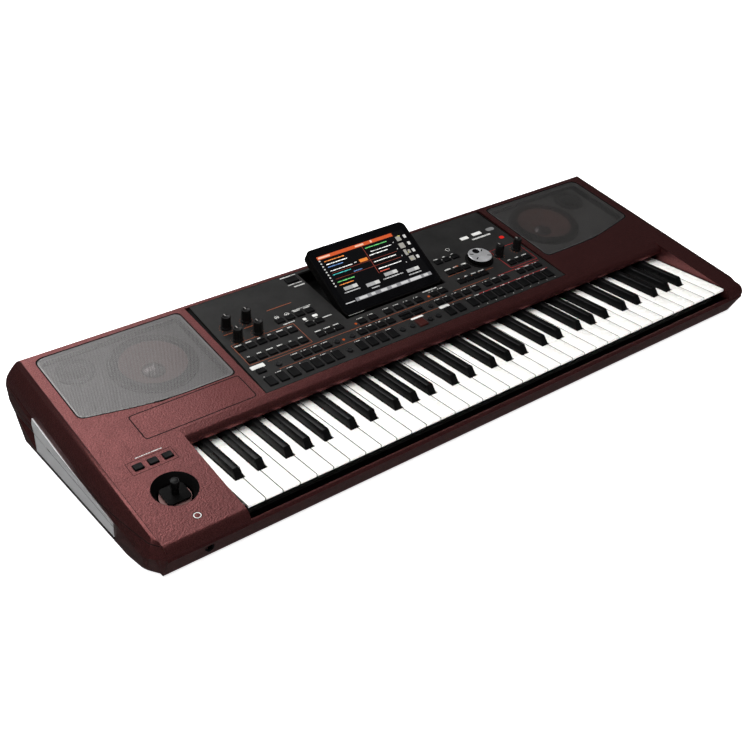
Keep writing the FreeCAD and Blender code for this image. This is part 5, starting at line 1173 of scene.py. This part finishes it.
def build_picture():
    """Fields of light on the glass: header, lists, tabs and keys of a plain menu."""
    white = lamp("lit_white", (0.62, 0.62, 0.60), 0.8)
    lit("ground", lamp("lit_ground", (0.005, 0.005, 0.006), 0.4), [(-76, 78, 10, 96)], GROUND)
    lit("header", lamp("lit_header", (0.62, 0.10, 0.03), 0.8), [(-76, 57, 90, 95.5)])
    lit("header_marks", lamp("lit_header_marks", (0.9, 0.55, 0.4), 0.8), [
        (-74, -54, 91.4, 94.2), (-10, 5, 91.4, 94.2), (17, 20, 91, 95)], MARK)
    lit("orange_key", lamp("lit_orange", (0.75, 0.22, 0.04), 0.9), [(-17, -3, 65.8, 71)])
    for name, (colour, boxes) in ROWS.items():
        lit(name + "_rows", ink("lit_%s_rows" % name, colour, 0.5), boxes)
    lit("white_list", white, [(-75.6, -73.2, low, low + 2.2) for low in range(42, 90, 5)])
    lit("white_icons", lamp("lit_icons", (0.34, 0.33, 0.30), 0.8), [
        (57, 66, 66, 75), (58, 63, 53, 63), (65, 69, 55, 61), (60, 69, 42, 50), (59, 67, 79, 87)])
    lit("white_keys", white, [(72.5, 77, low, low + 5.6) for low in (43, 55, 68, 81)])
    lit("white_dots", white, [(50.5, 52, low, low + 1.6) for low in (42, 54, 67, 79)])
    lit("divider", lamp("lit_divider", (0.30, 0.06, 0.04), 0.7), [
        (-0.4, 0.4, 40, 90), (-68, 48, 53.2, 53.7), (-68, 48, 64, 64.5)])
    lit("yellow_marks", lamp("lit_yellow", (0.55, 0.50, 0.14), 0.8), [
        (63, 68, 86, 88), (61, 64, 44, 46), (64, 67, 56, 58)])
    tabs = [(-65, -42, 32, 37.5), (-30, -7, 25.5, 31), (6, 29, 32, 37.5), (43, 65, 25.5, 31)]
    lit("tabs", lamp("lit_tabs", (0.36, 0.36, 0.36), 0.9), tabs)
    lit("tab_ends", white, [(right - 8, right, low, high) for _, right, low, high in tabs], MARK)
    lit("tab_notes", ink("lit_notes", (0.34, 0.34, 0.34), 0.5), [
        (-68, -41, 27.6, 29.4), (-25, -11, 20.6, 22.4), (0, 36, 27.6, 29.4), (42, 65, 20.6, 22.4)])
    lit("strip", lamp("lit_grey", (0.22, 0.22, 0.23), 0.9), [(-58, 78, 10.4, 16)])
    lit("strip_fields", lamp("lit_strip", (0.55, 0.55, 0.55), 0.9), [
        (-76, -60, 11.6, 13), (-52, -38, 11.2, 15.2), (-31, -24, 11.2, 15.2), (-14, -3, 11.2, 15.2),
        (5, 14, 11.2, 15.2), (22, 35, 11.2, 15.2), (39, 59, 10.8, 15.6), (64, 72, 11.2, 15.2)], MARK)


# Light, floor and camera

FLOOR_REACH = 8000
# Radius and height of the backdrop, a paper bowl round the floor.
BACKDROP = ((7800, 0), (9000, 200), (9800, 900), (10000, 2400), (9000, 6500), (5000, 9500), (100, 10500))
# Softboxes: place and turn, width and length in metres, watts.
FRONT_BOX = ((-0.9, -0.9, 2.8), (0.31, -0.31, 0.0), 2.6, 2.6, 130.0)
REAR_BOX = ((-0.75, 2.2, 3.0), (-0.3, 0.0, 0.0), 3.7, 1.8, 76.0)
WORLD_LIGHT = 0.05


@maker
def white_paper(recipe, lumps, glow):
    """Matt paper, lit by itself."""
    recipe.colour(recipe.ramp(recipe.noise(lumps), (0.90, 0.90, 0.90), (0.94, 0.94, 0.94)))
    recipe.set(Roughness=0.9, Specular_IOR_Level=0.0, Emission_Color=(1.0, 1.0, 1.0, 1.0), Emission_Strength=glow)


def stage_sheet(name, shape, lumps, glow):
    """A sheet of white paper round the object."""
    mesh = shape.mesh(name)
    mesh.materials.append(white_paper(name + "_paper", lumps, glow))
    sheet = linked(name, mesh)
    sheet.visible_glossy = False
    return sheet


def build_stage():
    """Paper floor and backdrop, two softboxes and a little light from all round."""
    flat = Shape(plain)
    reach = FLOOR_REACH
    flat.faces.append(tuple(flat.ring([(-reach, -reach), (reach, -reach), (reach, reach), (-reach, reach)], 0)))
    stage_sheet("floor", flat, 3.0, 0.85)
    bowl = Shape(plain)
    rings = [bowl.ring(round_line(0, 0, radius, 64), high) for radius, high in BACKDROP]
    for low, high in zip(rings, rings[1:]):
        bowl.skirt(high, low)
    backdrop = stage_sheet("backdrop", bowl, 0.4, 0.9)
    backdrop.visible_diffuse = backdrop.visible_transmission = backdrop.visible_shadow = False
    world = bpy.data.worlds.new("studio")
    world.use_nodes = True
    sockets = world.node_tree.nodes["Background"].inputs
    sockets["Color"].default_value = (1.0, 1.0, 1.0, 1.0)
    sockets["Strength"].default_value = WORLD_LIGHT
    bpy.context.scene.world = world
    add_softbox("front_softbox", *FRONT_BOX).visible_glossy = False
    add_softbox("rear_softbox", *REAR_BOX)
    bpy.context.scene.view_settings.view_transform = "Standard"


def add_softbox(name, spot, turn, wide, long, power):
    light = bpy.data.lights.new(name, "AREA")
    light.shape = "RECTANGLE"
    light.size = wide
    light.size_y = long
    light.energy = power
    box = linked(name, light)
    box.location = spot
    box.rotation_euler = turn
    return box


# Place of the camera in metres, its heading from the rear to the right, dip, lens and shift.
CAMERA_SPOT = (-0.84887, -1.07718, 0.83123)
CAMERA_HEADING = radians(39.5)
CAMERA_DIP = radians(31.86)
CAMERA_LENS = 53.216
CAMERA_SENSOR = 36.0
CAMERA_SHIFT = (-0.08547, 0.01573)


def build_camera():
    lens = bpy.data.cameras.new("camera")
    lens.lens = CAMERA_LENS
    lens.sensor_width = CAMERA_SENSOR
    lens.shift_x, lens.shift_y = CAMERA_SHIFT
    camera = linked("camera", lens)
    camera.location = CAMERA_SPOT
    camera.rotation_euler = (pi / 2 - CAMERA_DIP, 0.0, -CAMERA_HEADING)
    bpy.context.scene.camera = camera


for build in (dress_nodes, build_keys, build_cheeks, build_seams, build_grilles, build_speakers, build_caps,
              build_knobs, build_dial, build_joystick, build_underside, build_rear, build_prints, build_picture,
              build_stage, build_camera):
    build()
